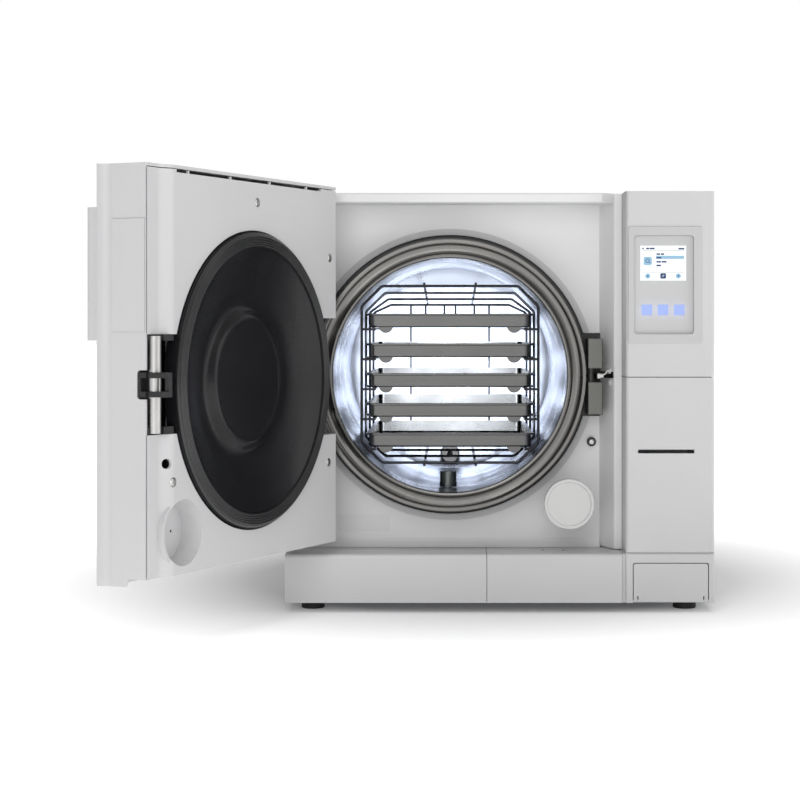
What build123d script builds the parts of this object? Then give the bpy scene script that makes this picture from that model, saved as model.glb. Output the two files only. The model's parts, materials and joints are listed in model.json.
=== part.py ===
"""Benchtop autoclave with its door open, built as separate pieces.

Millimetres, +Z up. The origin is on the worktop, under the middle of the cabinet's front face.
The front faces -Y and the chamber runs back along +Y. The door is drawn shut and turned open at the end.
"""
from build123d import *
from math import cos, radians, sin, sqrt
import os

# ---- driving dimensions -------------------------------------------------------------------------
CABINET_W = 450.0
CABINET_BACK = 558.0
CABINET_TOP = 441.5
FOOT_H = 10.0
FOOT_R = 12.5
FOOT_X = 198.0
FOOT_Y = (37.0, 520.0)
LEDGE_Z = 61.0
SKIN = 2.5                    # moulded covers
SHEET = 1.5                   # folded steel sheet
COLUMN_X = 132.0              # left face of the control column
COLUMN_SPLIT_Z = 246.5
SEAM_X = -13.4                # joint between the two plinth covers
GROOVE_X = 128.3              # left side of the groove between the plinth cover and the service block
GROOVE_DEPTH = 2.5
SIDE_Y = 44.0                 # front edge of the side panels
FASCIA_Y = 70.0
FASCIA_T = 3.0
LIP_Y = 28.0                  # front edge of the overhang above the chamber
LIP_Z = 431.0

CHAMBER_X = -52.0
CHAMBER_Z = 247.6
CHAMBER_R = 125.0
VESSEL_WALL = 3.0
VESSEL_END = 398.0
VESSEL_DISH = 38.0
RING_R = 146.0
RING_Y = 31.0
BEVEL_R = 158.0
BEVEL_DEPTH = 3.0             # depth of the bevel round the ring
FASCIA_HOLE_R = 151.5
JACKET_R = 138.0

WIRE_R = 1.5
STUB_R = 1.3                  # short cross wires of the rack
WELD = 2.5                    # offset of crossing wires where they are welded
RACK_HALF = 96.0
RACK_CHAMFER = 22.0
RACK_DROP = 5.6               # how much lower the top of each frame is than the one in front
RACK_SHOULDER = 69.0          # lowest start of a chamfer, clear of the top tray
RACK_Y = (75.0, 180.0, 285.0, 390.0)
RACK_SPINE_X = 28.0
REAR_BAR_X = 49.0             # upright bars of the rear frame
REAR_STOP_X = (7.0, 30.5)     # short stops behind the top tray
REAR_STOP_H = 24.0
RAIL_IN = 14.0
TRAY_COUNT = 5
TRAY_PITCH = 32.6
TRAY_TOP_Z = 313.8
TRAY_H = 15.4
TRAY_HALF_W = 92.0
TRAY_FRONT = 80.0
TRAY_LEN = 284.0
TRAY_SHEET = 1.0

HINGE_X = -200.0
DOOR_OPEN = 115.0
DOOR_IN_Y = 24.0              # inner face of the shut door
DOOR_OUT_Y = -32.0            # outer face of the shut door
DOOR_LEFT = -215.0
DOOR_RIGHT = 125.0
DOOR_COVER_LEFT = -224.0
DOOR_COVER_RIGHT = 130.0
DOOR_BOTTOM = 74.3
DOOR_COVER_BOTTOM = 67.0
DOOR_TOP = 445.5
CAP_T = 3.0
CAP_GAP = 0.8                 # shadow gap under the door's cap
SEAM_GAP = 1.1                # shadow gap along the free edge
DISC_R = 143.5
HINGE_PIN_R = 6.0
HINGE_WINDOW = 60.6           # half height of the opening for the hinge
LATCH_HALF = 45.0             # half height of the latch recess
LATCH_PIN = (114.0, 19.0)
LATCH_PIN_R = 6.0
ARM_SIDE_X = 118.0            # right edge of the eye's bar, left of the bolt's arm when locked
EYE_END = 36.5                # far side of the eye that the lock bolt enters
RUN_FIT = 0.05                # radial clearance of turning and sliding fits


# ---- small helpers ------------------------------------------------------------------------------
def box(x0, x1, y0, y1, z0, z1):
    """Block between two corners."""
    centre = Pos((x0 + x1) / 2, (y0 + y1) / 2, (z0 + z1) / 2)
    return centre * Box(x1 - x0, y1 - y0, z1 - z0)


def rod_x(x0, x1, y, z, r):
    """Round bar along X."""
    return Pos((x0 + x1) / 2, y, z) * Rot(0, 90, 0) * Cylinder(r, x1 - x0)


def rod_y(x, z, y0, y1, r):
    """Round bar along Y."""
    return Pos(x, (y0 + y1) / 2, z) * Rot(90, 0, 0) * Cylinder(r, y1 - y0)


def rod_z(x, y, z0, z1, r):
    """Round bar along Z."""
    return Pos(x, y, (z0 + z1) / 2) * Cylinder(r, z1 - z0)


def rod_between(start, end, r):
    """Round bar between two points."""
    way = Vector(*end) - Vector(*start)
    return extrude(Plane(origin=start, z_dir=way) * Circle(r), way.length)


def pipe_y(x, z, y0, y1, r_out, r_in):
    """Tube along Y."""
    return rod_y(x, z, y0, y1, r_out) - rod_y(x, z, y0 - 1, y1 + 1, r_in)


def turned(points, x=CHAMBER_X, z=CHAMBER_Z):
    """Solid of revolution about a line along Y, from (radius, y) points."""
    face = make_face(Polyline(*[(r, y) for r, y in points], close=True))
    return Pos(x, 0, z) * revolve(face, Axis.Y, 360)


def slab_x(points, x0, x1):
    """Prism along X from (y, z) points."""
    face = Plane.YZ.offset(x0) * make_face(Polyline(*points, close=True))
    return extrude(face, x1 - x0)


def slab_z(points, z0, z1):
    """Prism along Z from (x, y) points."""
    face = Plane.XY.offset(z0) * make_face(Polyline(*points, close=True))
    return extrude(face, z1 - z0)


def round_edges(solid, radius, axis, near):
    """Round the edges along one axis that pass close to the given places."""
    picked = [e for e in solid.edges().filter_by(axis) if any(near_edge(e, p) for p in near)]
    return fillet(picked, radius)


def near_edge(edge, place):
    """True where the edge's middle is within a millimetre of a place; None matches anything."""
    middle = edge.center()
    return all(p is None or abs(p - c) < 1.0 for p, c in zip(place, (middle.X, middle.Y, middle.Z)))


def write(name, solid):
    """Write one piece as a STEP file named after its node."""
    parts = solid if isinstance(solid, list) else [solid]
    solids = [s for p in parts for s in p.solids()]
    shape = solids[0] if len(solids) == 1 else Compound(children=solids)
    export_step(shape, f"parts/{name}.step")


def door_write(name, solid):
    """Write a door piece, swung open about the hinge pins."""
    hinge = Axis((HINGE_X, 0, 0), (0, 0, 1))
    parts = solid if isinstance(solid, list) else [solid]
    write(name, [p.rotate(hinge, -DOOR_OPEN) for p in parts])


# ---- plinth and base ----------------------------------------------------------------------------
def base_tray():
    """Folded steel tray that carries everything."""
    half = CABINET_W / 2 - SKIN - 0.5
    floor = box(-half, half, 4, CABINET_BACK - 3, FOOT_H, FOOT_H + SHEET)
    tray = floor
    for side in (-1, 1):
        wall = box(-SHEET / 2, SHEET / 2, 76, CABINET_BACK - 3, FOOT_H, 55)
        tray += Pos(side * (half - SHEET / 2), 0, 0) * wall
    tray += box(-half, half, 76, 76 + SHEET, FOOT_H, 55)
    tray += box(-half, half, CABINET_BACK - 3 - SHEET, CABINET_BACK - 3, FOOT_H, 55)
    return tray


def feet():
    """Four rubber feet, a little wider at the floor."""
    outline = [(0, 0), (FOOT_R - 1, 0), (FOOT_R, 1.2), (FOOT_R - 1, FOOT_H), (0, FOOT_H)]
    face = make_face(Polyline(*outline, close=True))
    foot = revolve(Plane.XZ * face, Axis.Z, 360)
    return [Pos(side * FOOT_X, y, 0) * foot for side in (-1, 1) for y in FOOT_Y]


def plinth_cover(x0, x1, closed_left):
    """Moulded cover with a rounded front edge and a flat ledge."""
    outer = slab_x([(0, FOOT_H), (0, LEDGE_Z), (72, LEDGE_Z), (72, FOOT_H)], x0, x1)
    outer = round_edges(outer, 4.0, Axis.X, [(None, 0, LEDGE_Z)])
    left = x0 + (SKIN if closed_left else -1)
    inner = slab_x([(SKIN, 0), (SKIN, LEDGE_Z - SKIN), (80, LEDGE_Z - SKIN), (80, 0)], left, x1 + 1)
    inner = round_edges(inner, 1.5, Axis.X, [(None, SKIN, LEDGE_Z - SKIN)])
    return outer - inner


SERVICE_X = (139.5, 219.3)
SERVICE_Z = 52.0
SERVICE_DEPTH = 60.0
FLAP_GAP = 0.9                # clearance round the flap
FLAP_AXIS = (1.6, 12.2)       # y and z of the flap's hinge line
TRUNNION_R = 1.2


def plinth_service_block():
    """Right end of the plinth, with the recess that the flap closes."""
    x0, x1 = SERVICE_X
    block = box(COLUMN_X, CABINET_W / 2, 0, 72, FOOT_H, 62.6)
    block = fillet(block.edges().filter_by(Axis.Z).group_by(Axis.Y)[0], 2.0)
    block -= slab_x([(-0.1, 60.5), (-0.1, 62.7), (2.1, 62.7)], COLUMN_X - 1, CABINET_W / 2 + 1)
    block += box(GROOVE_X + 0.4, COLUMN_X + 1, GROOVE_DEPTH, 72, FOOT_H, LEDGE_Z)
    block -= box(COLUMN_X + SKIN, CABINET_W / 2 - SKIN, SKIN, 80, 0, 62.6 - SKIN)
    walls = box(x0 - SKIN, x1 + SKIN, SKIN, SERVICE_DEPTH + SKIN, FOOT_H + SHEET + 0.2, SERVICE_Z + SKIN)
    walls -= box(x0, x1, -5, SERVICE_DEPTH, 0, SERVICE_Z)
    block += walls
    mouth = box(x0, x1, -5, 10, 0, SERVICE_Z)
    block -= round_edges(mouth, 3.0, Axis.Y, [(x0, None, SERVICE_Z), (x1, None, SERVICE_Z)])
    y, z = FLAP_AXIS
    block += rod_x(COLUMN_X + 1, x0, y + 1.0, z + 1.0, 3.4) & box(COLUMN_X, x0, 0, 8, FOOT_H, 30)
    block += rod_x(x1, CABINET_W / 2 - 1, y + 1.0, z + 1.0, 3.4) & box(x1, CABINET_W / 2, 0, 8, FOOT_H, 30)
    block -= rod_x(x0 - 3.2, x1 + 3.2, y, z, TRUNNION_R + RUN_FIT)
    for x in COUPLING_X:
        block -= rod_y(x, COUPLING_Z, SERVICE_DEPTH - 2, SERVICE_DEPTH + 6, 7.5)
    return block - box(GROOVE_X, CABINET_W / 2 - SKIN, 3.7, 80, 0, FOOT_H + SHEET + 0.2)


def service_flap():
    """Drop-down flap, hinged on two trunnions at its foot."""
    x0, x1 = SERVICE_X[0] + FLAP_GAP, SERVICE_X[1] - FLAP_GAP
    top = SERVICE_Z - FLAP_GAP
    y, z = FLAP_AXIS
    flap = box(x0, x1, 0.3, 2.9, 10.6, top)
    flap = round_edges(flap, 2.6, Axis.Y, [(x0, None, top), (x1, None, top)])
    flap = round_edges(flap, 1.2, Axis.X, [(None, 0.3, 10.6), (None, 2.9, 10.6)])
    for x in (x0 + 4.5, x1 - 4.5):
        flap -= box(x - 0.6, x + 0.6, -1, 4, 10, 17)
    return flap + rod_x(x0 - 3.4, x1 + 3.4, y, z, TRUNNION_R)


# ---- fascia and column --------------------------------------------------------------------------
RECEIVER_X = (82.0, 110.9)
RECEIVER_HALF = 45.0
BOLT_SLOT_HALF = 3.6
BOLT_SLOT_X = 123.0
WALL_X = 110.0                # foot of the slanted wall
STRIP_X = 123.4               # flat strip between the slanted wall and the column
STRIP_Y = 40.0
SWITCH_PIN = (101.0, 175.0)
FILTER = (74.0, 112.0)
FILTER_STEM_R = 6.0


def fascia():
    """White front moulding round the chamber, with the overhang and the slanted wall to the column."""
    left, foot_z, back = -CABINET_W / 2, LEDGE_Z + 0.3, FASCIA_Y + FASCIA_T
    plate = box(left, WALL_X, FASCIA_Y, back, foot_z, CABINET_TOP)
    plate += box(left, left + SKIN, SIDE_Y - 2, FASCIA_Y, foot_z, CABINET_TOP)
    plate += fascia_wall(foot_z) + fascia_foot(left, foot_z)
    cone = [(FASCIA_HOLE_R, FASCIA_Y + BEVEL_DEPTH), (BEVEL_R, FASCIA_Y), (BEVEL_R + 6, FASCIA_Y)]
    cone += [(BEVEL_R + 6, back), (FASCIA_HOLE_R + 2.5, back + 5), (FASCIA_HOLE_R, back + 5)]
    inside = box(left + 1, WALL_X + 1, FASCIA_Y - 1, FASCIA_Y + 20, foot_z, CABINET_TOP)
    opening = rod_y(CHAMBER_X, CHAMBER_Z, 60, 90, BEVEL_R)
    plate = plate - opening + fascia_lip(left) + (turned(cone) & inside)
    x0, x1 = RECEIVER_X
    plate -= box(x0, x1, 50, 100, CHAMBER_Z - RECEIVER_HALF, CHAMBER_Z + RECEIVER_HALF)
    plate -= box(x1 - 1, BOLT_SLOT_X, 30, 100, CHAMBER_Z - BOLT_SLOT_HALF, CHAMBER_Z + BOLT_SLOT_HALF)
    window = HINGE_WINDOW + 1.4
    plate -= box(HINGE_X - 12, HINGE_X + 14, 40, 100, CHAMBER_Z - window, CHAMBER_Z + window)
    sx, sz = SWITCH_PIN
    plate += rod_y(sx, sz, FASCIA_Y - 5, FASCIA_Y + 12, 4.9)
    plate -= rod_y(sx, sz, 50, 100, 3.2 + RUN_FIT)
    return plate - rod_y(*FILTER, 50, 100, FILTER_STEM_R + 1)


def fascia_wall(foot_z):
    """Slanted wall beside the chamber and the flat strip that meets the column."""
    end = COLUMN_X - 0.4
    plan = [(WALL_X, FASCIA_Y), (STRIP_X, STRIP_Y), (end, STRIP_Y), (end, STRIP_Y + 3.5)]
    plan += [(STRIP_X + 2, STRIP_Y + 3.5), (WALL_X + 2.5, FASCIA_Y + FASCIA_T)]
    plan += [(WALL_X - 2, FASCIA_Y + FASCIA_T), (WALL_X - 2, FASCIA_Y)]
    wall = slab_z(plan, foot_z + 0.7, CABINET_TOP)
    wall = round_edges(wall, 2.5, Axis.Z, [(STRIP_X, STRIP_Y, None)])
    z0, z1 = COLUMN_SPLIT_Z - 0.4, COLUMN_SPLIT_Z + 0.4
    seam = box(STRIP_X - 1, COLUMN_X, STRIP_Y - 1, STRIP_Y + 0.8, z0, z1)
    return wall - seam


def fascia_lip(left):
    """Overhang above the chamber, cut back at both ends."""
    plan = [(left, SIDE_Y - 2), (-190, SIDE_Y - 2), (-174, LIP_Y), (STRIP_X - 14, LIP_Y)]
    plan += [(STRIP_X, STRIP_Y + 0.2), (WALL_X, FASCIA_Y + 1), (left, FASCIA_Y + 1)]
    lip = slab_z(plan, LIP_Z, CABINET_TOP)
    return fillet([e for e in lip.edges().filter_by(Axis.X) if e.center().Y < LIP_Y + 1], 2.5)


def fascia_foot(left, foot_z):
    """Hollow sweep from the fascia down to the ledge."""
    back, front, rise = FASCIA_Y + 1, FASCIA_Y - 14, 13.5
    outline = [(back, foot_z), (front, foot_z), (front, foot_z + 0.5), (back, foot_z + 14.7)]
    foot = slab_x(outline, left + 1, WALL_X)
    return foot - rod_x(left, WALL_X + 1, front + 0.5, foot_z + rise, 14)


def column_cover(z0, z1, top):
    """Shell of the control column: front, left side and right side."""
    shell = box(COLUMN_X, CABINET_W / 2, 0, SIDE_Y - 0.4, z0, z1)
    shell = round_edges(shell, 4.0, Axis.Z, [(COLUMN_X, 0, None)])
    shell = round_edges(shell, 3.0, Axis.Z, [(CABINET_W / 2, 0, None)])
    ceiling = z1 - SKIN if top else z1 + 5
    return shell - box(COLUMN_X + SKIN, CABINET_W / 2 - SKIN, SKIN, 80, z0 - 5, ceiling)


BEZEL = (134.6, 212.3, 281.8, 404.6)
PANEL = (140.8, 203.5, 291.5, 395.1)
SCREEN = (147.7, 195.9, 347.7, 384.5)
KEY_X = (149.0, 166.0, 183.0)
KEY_SIZE = 11.0
KEY_Z = 311.5
SLOT = (145.0, 204.0, 166.6, 171.0)


def column_upper_cover():
    """Upper cover with the cut-out for the display."""
    x0, x1, z0, z1 = BEZEL
    cover = column_cover(COLUMN_SPLIT_Z + 0.4, CABINET_TOP, True)
    return cover - box(x0 + 4.5, x1 - 4.5, -1, 10, z0 + 4.5, z1 - 4.5)


def column_lower_cover():
    """Lower cover with the paper slot and its serrated tear edge."""
    x0, x1, z0, z1 = SLOT
    cover = column_cover(62.9, COLUMN_SPLIT_Z - 0.4, False)
    cover -= box(x0, x1, -1, 5, z0, z1)
    teeth = 29
    pitch = (x1 - x0) / teeth
    for n in range(teeth):
        a = x0 + n * pitch
        tooth = Polyline((a, z1 + 0.01), (a + pitch / 2, z1 - 0.9), (a + pitch, z1 + 0.01), close=True)
        tooth = Plane.XZ.offset(-1.4) * make_face(tooth)
        cover += extrude(tooth, 0.8) & box(x0, x1, 0, 2, z0, z1 + 0.01)
    return cover


def display_bezel():
    """Dished frame round the touch panel."""
    x0, x1, z0, z1 = BEZEL
    a0, a1, c0, c1 = PANEL
    frame = box(x0, x1, -1.2, 0, z0, z1)
    frame = fillet(frame.edges().filter_by(Axis.Y), 2.5)
    frame = fillet(frame.faces().sort_by(Axis.Y)[0].edges(), 0.9)
    frame += box(x0 + 4.8, x1 - 4.8, -0.5, 7, z0 + 4.8, z1 - 4.8)
    hole = box(a0, a1, -5, 12, c0, c1)
    hole = fillet(hole.edges().filter_by(Axis.Y), 3.5)
    return frame - hole - dish()


def dish():
    """Sloping cut that leads from the bezel's face down to the panel."""
    a0, a1, c0, c1 = PANEL
    width, height = a1 - a0, c1 - c0
    centre = Pos((a0 + a1) / 2, 0, (c0 + c1) / 2)
    front = centre * Plane.XZ.offset(1.3) * RectangleRounded(width + 7.5, height + 7.5, 7)
    back = centre * Plane.XZ.offset(-2.8) * RectangleRounded(width, height, 3.5)
    return loft([front, back])


def display_panel():
    """Flat panel inside the bezel, open behind the screen and the keys."""
    a0, a1, c0, c1 = PANEL
    panel = box(a0 + 0.1, a1 - 0.1, 3.2, 6.0, c0 + 0.1, c1 - 0.1)
    panel = fillet(panel.edges().filter_by(Axis.Y), 3.4)
    sx0, sx1, sz0, sz1 = SCREEN
    panel -= box(sx0, sx1, 0, 10, sz0, sz1)
    for x in KEY_X:
        panel -= box(x, x + KEY_SIZE, 0, 10, KEY_Z, KEY_Z + KEY_SIZE)
    return panel


def lcd_screen():
    """Colour screen, just below the panel's face."""
    x0, x1, z0, z1 = SCREEN
    return box(x0 + 0.1, x1 - 0.1, 3.5, 8, z0 + 0.1, z1 - 0.1)


def touch_key_windows():
    """Three lit key windows."""
    keys = []
    for x in KEY_X:
        key = box(x + 0.1, x + KEY_SIZE - 0.1, 3.3, 7, KEY_Z + 0.1, KEY_Z + KEY_SIZE - 0.1)
        keys.append(fillet(key.edges().filter_by(Axis.Y), 1.0))
    return keys


# ---- sheet covers -------------------------------------------------------------------------------
LID_X = (110.0, 200.0)
LID_Y = (330.0, 430.0)
LID_AXIS = (436.0, 446.0)     # y and z
LID_PIN_R = 1.5
FAN = (-150.0, 340.0)
FAN_R = 43.0
INLET = (150.0, 200.0, 66.0, 132.0)
HOSE_X = (60.0, 90.0)
HOSE_Z = 72.0
HOSE_R = 6.0
COUPLING_X = (164.0, 196.0)
COUPLING_Z = 32.0


def side_panels():
    """Left and right steel side panels; the right one also covers the column's side."""
    panels = []
    foot_z = 63.2
    for side, front in ((-1, FASCIA_Y + FASCIA_T + 0.4), (1, SIDE_Y)):
        panel = box(-SHEET / 2, SHEET / 2, front, CABINET_BACK - 0.5, foot_z, CABINET_TOP - 0.2)
        panel += box(-SHEET / 2, SHEET / 2, 76, CABINET_BACK - 0.5, FOOT_H, foot_z)
        panel -= [rod_x(-2, 2, 120 + 14 * n, z, 2.2) for n in range(12) for z in (90, 104)]
        panels.append(Pos(side * (CABINET_W - SHEET) / 2, 0, 0) * panel)
    return panels


def top_cover():
    """Steel top with the filling hatch and its hinge ears."""
    half = CABINET_W / 2 - SHEET - 0.2
    top = box(-half, half, FASCIA_Y + FASCIA_T + 0.3, CABINET_BACK - 0.5, CABINET_TOP - SHEET, CABINET_TOP)
    top += box(COLUMN_X + 0.2, half, SIDE_Y, FASCIA_Y + FASCIA_T + 2, CABINET_TOP - SHEET, CABINET_TOP)
    for side in (-1, 1):
        flange = box(-SHEET / 2, SHEET / 2, 80, CABINET_BACK - 5, CABINET_TOP - 14, CABINET_TOP)
        top += Pos(side * (half - SHEET / 2), 0, 0) * flange
    top -= box(LID_X[0], LID_X[1], LID_Y[0], LID_Y[1], 400, 460)
    y, z = LID_AXIS
    for x in (LID_X[0] - 5, LID_X[1] + 1):
        top += box(x, x + 4, y - 4, y + 4, CABINET_TOP - 0.5, z) + rod_x(x, x + 4, y, z, 4)
    return top - rod_x(LID_X[0] - 6, LID_X[1] + 6, y, z, LID_PIN_R + RUN_FIT)


def fill_lid():
    """Hatch over the clean water tank, on two short hinge pins."""
    x0, x1 = LID_X[0] + 0.5, LID_X[1] - 0.5
    y, z = LID_AXIS
    lid = box(x0, x1, LID_Y[0] + 0.5, LID_Y[1] - 0.5, CABINET_TOP - 1, CABINET_TOP + 2)
    lid = round_edges(lid, 4.0, Axis.Z, [(x0, LID_Y[0] + 0.5, None), (x1, LID_Y[0] + 0.5, None)])
    for x in (x0 + 2, x1 - 22):
        lid += box(x, x + 20, LID_Y[1] - 8, y, CABINET_TOP + 1, z + 2) + rod_x(x, x + 20, y, z, 3)
    lid += rod_x(x0 - 2.5, x0 + 4, y, z, LID_PIN_R) + rod_x(x1 - 4, x1 + 2.5, y, z, LID_PIN_R)
    grip = rod_x(x0 + 30, x1 - 30, LID_Y[0] + 14, CABINET_TOP + 7, 8)
    return lid - (grip & box(x0, x1, 300, 400, CABINET_TOP + 0.4, CABINET_TOP + 9))


def rear_panel():
    """Steel back with the fan opening, the inlet cut-out, the hose holes and vent slots."""
    half = CABINET_W / 2 - SHEET - 0.2
    back = box(-half, half, CABINET_BACK - SHEET, CABINET_BACK, 13, CABINET_TOP - SHEET - 0.3)
    back -= rod_y(*FAN, CABINET_BACK - 5, CABINET_BACK + 5, FAN_R)
    x0, x1, z0, z1 = INLET
    back -= box(x0, x1, CABINET_BACK - 5, CABINET_BACK + 5, z0, z1)
    for x in HOSE_X:
        back -= rod_y(x, HOSE_Z, CABINET_BACK - 5, CABINET_BACK + 5, 10.5)
    slots = []
    for column in range(2):
        for row in range(9):
            x, z = 20 + column * 75, 240 + row * 14
            slots.append(box(x, x + 60, CABINET_BACK - 5, CABINET_BACK + 5, z, z + 5))
    return back - slots


# ---- pressure vessel ----------------------------------------------------------------------------
DRAIN = (-54.0, 100.0)
DRAIN_R = 4.2


def dished_end(radius, y, rise):
    """Shallow round arc from the drum's wall to the axis."""
    ball = (radius ** 2 + rise ** 2) / (2 * rise)
    middle = y + sqrt(ball ** 2 - (radius / 2) ** 2) - (ball - rise)
    return ThreePointArc((radius, y), (radius / 2, middle), (0, y + rise))


def pressure_vessel():
    """Stainless drum with a dished end and a drain hole."""
    inner, outer = CHAMBER_R, CHAMBER_R + VESSEL_WALL
    start, end = RING_Y + 15, VESSEL_END
    back = end + VESSEL_DISH
    inside = dished_end(inner, end, VESSEL_DISH)
    outside = dished_end(outer, end + 1, VESSEL_DISH + VESSEL_WALL - 1)
    walls = Polyline((inner, end), (inner, start), (outer, start), (outer, end + 1))
    middle = Line((0, back), (0, back + VESSEL_WALL))
    face = make_face(Curve() + [inside, walls, outside, middle])
    vessel = Pos(CHAMBER_X, 0, CHAMBER_Z) * revolve(face, Axis.Y, 360)
    return vessel - rod_z(*DRAIN, 90, 150, DRAIN_R)


def chamber_flange():
    """Turned ring at the mouth: outer lip, hollow groove, inner lip, neck."""
    y = RING_Y
    ring = [(CHAMBER_R, y + 3), (CHAMBER_R + 0.8, y + 1.2)]
    ring += [(CHAMBER_R + 2.6, y + 0.8), (CHAMBER_R + 4, y + 1.6)]
    ring += groove_points(CHAMBER_R + 4.4, RING_R - 6, y + 2.2, 3.0, 8)
    ring += [(RING_R - 5.4, y + 0.6), (RING_R - 4.4, y), (RING_R - 1.4, y), (RING_R, y + 1.4)]
    ring += [(RING_R, y + 17), (CHAMBER_R + VESSEL_WALL + 6, y + 17), (CHAMBER_R + VESSEL_WALL + 6, y + 30)]
    ring += [(CHAMBER_R + VESSEL_WALL, y + 30), (CHAMBER_R + VESSEL_WALL, y + 15), (CHAMBER_R, y + 15)]
    return turned(ring)


def groove_points(r0, r1, y, depth, steps):
    """Points of a hollow half-round groove between two radii."""
    middle, half = (r0 + r1) / 2, (r1 - r0) / 2
    angles = [180 - 180 * n / steps for n in range(steps + 1)]
    return [(middle + half * cos(radians(a)), y + depth * sin(radians(a))) for a in angles]


BAND_Y = ((110.0, 160.0), (200.0, 250.0), (290.0, 340.0))


def heating_bands():
    """Three silicone heater bands round the drum."""
    r = CHAMBER_R + VESSEL_WALL
    return [pipe_y(CHAMBER_X, CHAMBER_Z, y0, y1, r + 2.5, r) for y0, y1 in BAND_Y]


def insulation_jacket():
    """Mineral wool jacket round the drum and its end."""
    r = CHAMBER_R + VESSEL_WALL + 3
    end = VESSEL_END + VESSEL_DISH + VESSEL_WALL + 2
    jacket = rod_y(CHAMBER_X, CHAMBER_Z, 92, end + 8, JACKET_R) - rod_y(CHAMBER_X, CHAMBER_Z, 91, end, r)
    return jacket - rod_z(*DRAIN, 90, 150, 9)


def vessel_cradles():
    """Two saddles that carry the drum on the base tray."""
    saddles = []
    for y in (150.0, 350.0):
        saddle = box(CHAMBER_X - 95, CHAMBER_X + 95, y, y + 4, FOOT_H + SHEET, 160)
        saddle += box(CHAMBER_X - 95, CHAMBER_X + 95, y, y + 24, FOOT_H + SHEET, FOOT_H + SHEET + 3)
        saddle -= box(CHAMBER_X - 55, CHAMBER_X + 55, y - 1, y + 5, FOOT_H + SHEET + 8, 92)
        saddles.append(saddle - rod_y(CHAMBER_X, CHAMBER_Z, y - 5, y + 40, JACKET_R))
    return saddles


def chamber_filter():
    """Knurled drain filter with a slotted crown, plugged into the drain hole."""
    x, y = DRAIN
    z0 = CHAMBER_Z - CHAMBER_R + 1.0
    crown = rod_z(x, y, z0, z0 + 5, 9.5)
    for n in range(6):
        slot = box(-12, 12, -1.2, 1.2, z0 - 1, z0 + 3)
        crown -= Pos(x, y, 0) * Rot(0, 0, 30 * n) * slot
    crown += rod_z(x, y, z0 + 0.2, z0 + 4, 5)
    barrel = rod_z(x, y, z0 + 4.5, z0 + 17, 9)
    for n in range(24):
        barrel -= Pos(x, y, 0) * Rot(0, 0, 15 * n) * box(8.5, 10, -0.5, 0.5, z0 + 6, z0 + 15.5)
    barrel -= rod_z(x, y, z0 + 12, z0 + 18, 6)
    return crown + barrel + rod_z(x, y, z0 - 12, z0 + 1, DRAIN_R - RUN_FIT)


# ---- rack and trays -----------------------------------------------------------------------------
def tray_bottoms():
    """Heights of the undersides of the trays, top tray first."""
    return [TRAY_TOP_Z - TRAY_H - n * TRAY_PITCH for n in range(TRAY_COUNT)]


def octagon_points(top):
    """Corners of one of the rack's eight-sided frames."""
    a, b = RACK_HALF, RACK_HALF - RACK_CHAMFER
    shoulder = max(top - RACK_CHAMFER, RACK_SHOULDER)
    return [(a, shoulder), (b, top), (-b, top), (-a, shoulder), (-a, -b), (-b, -a), (b, -a), (a, -b)]


def tray_rack():
    """Wire rack: four eight-sided frames, lower towards the back, two spines above and below, and rails."""
    wires = []
    for n, y in enumerate(RACK_Y):
        path = FilletPolyline(*octagon_points(RACK_HALF - n * RACK_DROP), radius=6, close=True)
        path = Plane((CHAMBER_X, y, CHAMBER_Z), x_dir=(1, 0, 0), z_dir=(0, -1, 0)) * path
        start = Plane(origin=path @ 0, z_dir=path % 0)
        wires.append(sweep(start * Circle(WIRE_R), path=path))
    first, last = RACK_Y[0], RACK_Y[-1]
    rear_top = CHAMBER_Z + RACK_HALF - (len(RACK_Y) - 1) * RACK_DROP
    for side in (-1, 1):
        x = CHAMBER_X + side * RACK_SPINE_X
        wires.append(rod_y(x, CHAMBER_Z - RACK_HALF - WELD, first, last, WIRE_R))
        start = (x, first, CHAMBER_Z + RACK_HALF + WELD)
        wires.append(rod_between(start, (x, last, rear_top + WELD), WIRE_R))
        x_in = CHAMBER_X + side * (RACK_HALF - RAIL_IN)
        for bottom in tray_bottoms():
            z = bottom - WIRE_R - 0.3
            reach = min(RACK_HALF, 2 * RACK_HALF - RACK_CHAMFER - abs(z - CHAMBER_Z))
            x_out = CHAMBER_X + side * reach
            wires.append(rod_y(x_in, z, first, last, WIRE_R))
            for y in RACK_Y:
                wires.append(rod_x(min(x_in, x_out), max(x_in, x_out), y, z, STUB_R))
        x = CHAMBER_X + side * REAR_BAR_X
        wires.append(rod_z(x, last, CHAMBER_Z - RACK_HALF, rear_top, STUB_R))
        for x in REAR_STOP_X:
            wires.append(rod_z(CHAMBER_X + side * x, last, rear_top - REAR_STOP_H, rear_top, STUB_R))
    return wires[0].fuse(*wires[1:])


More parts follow.
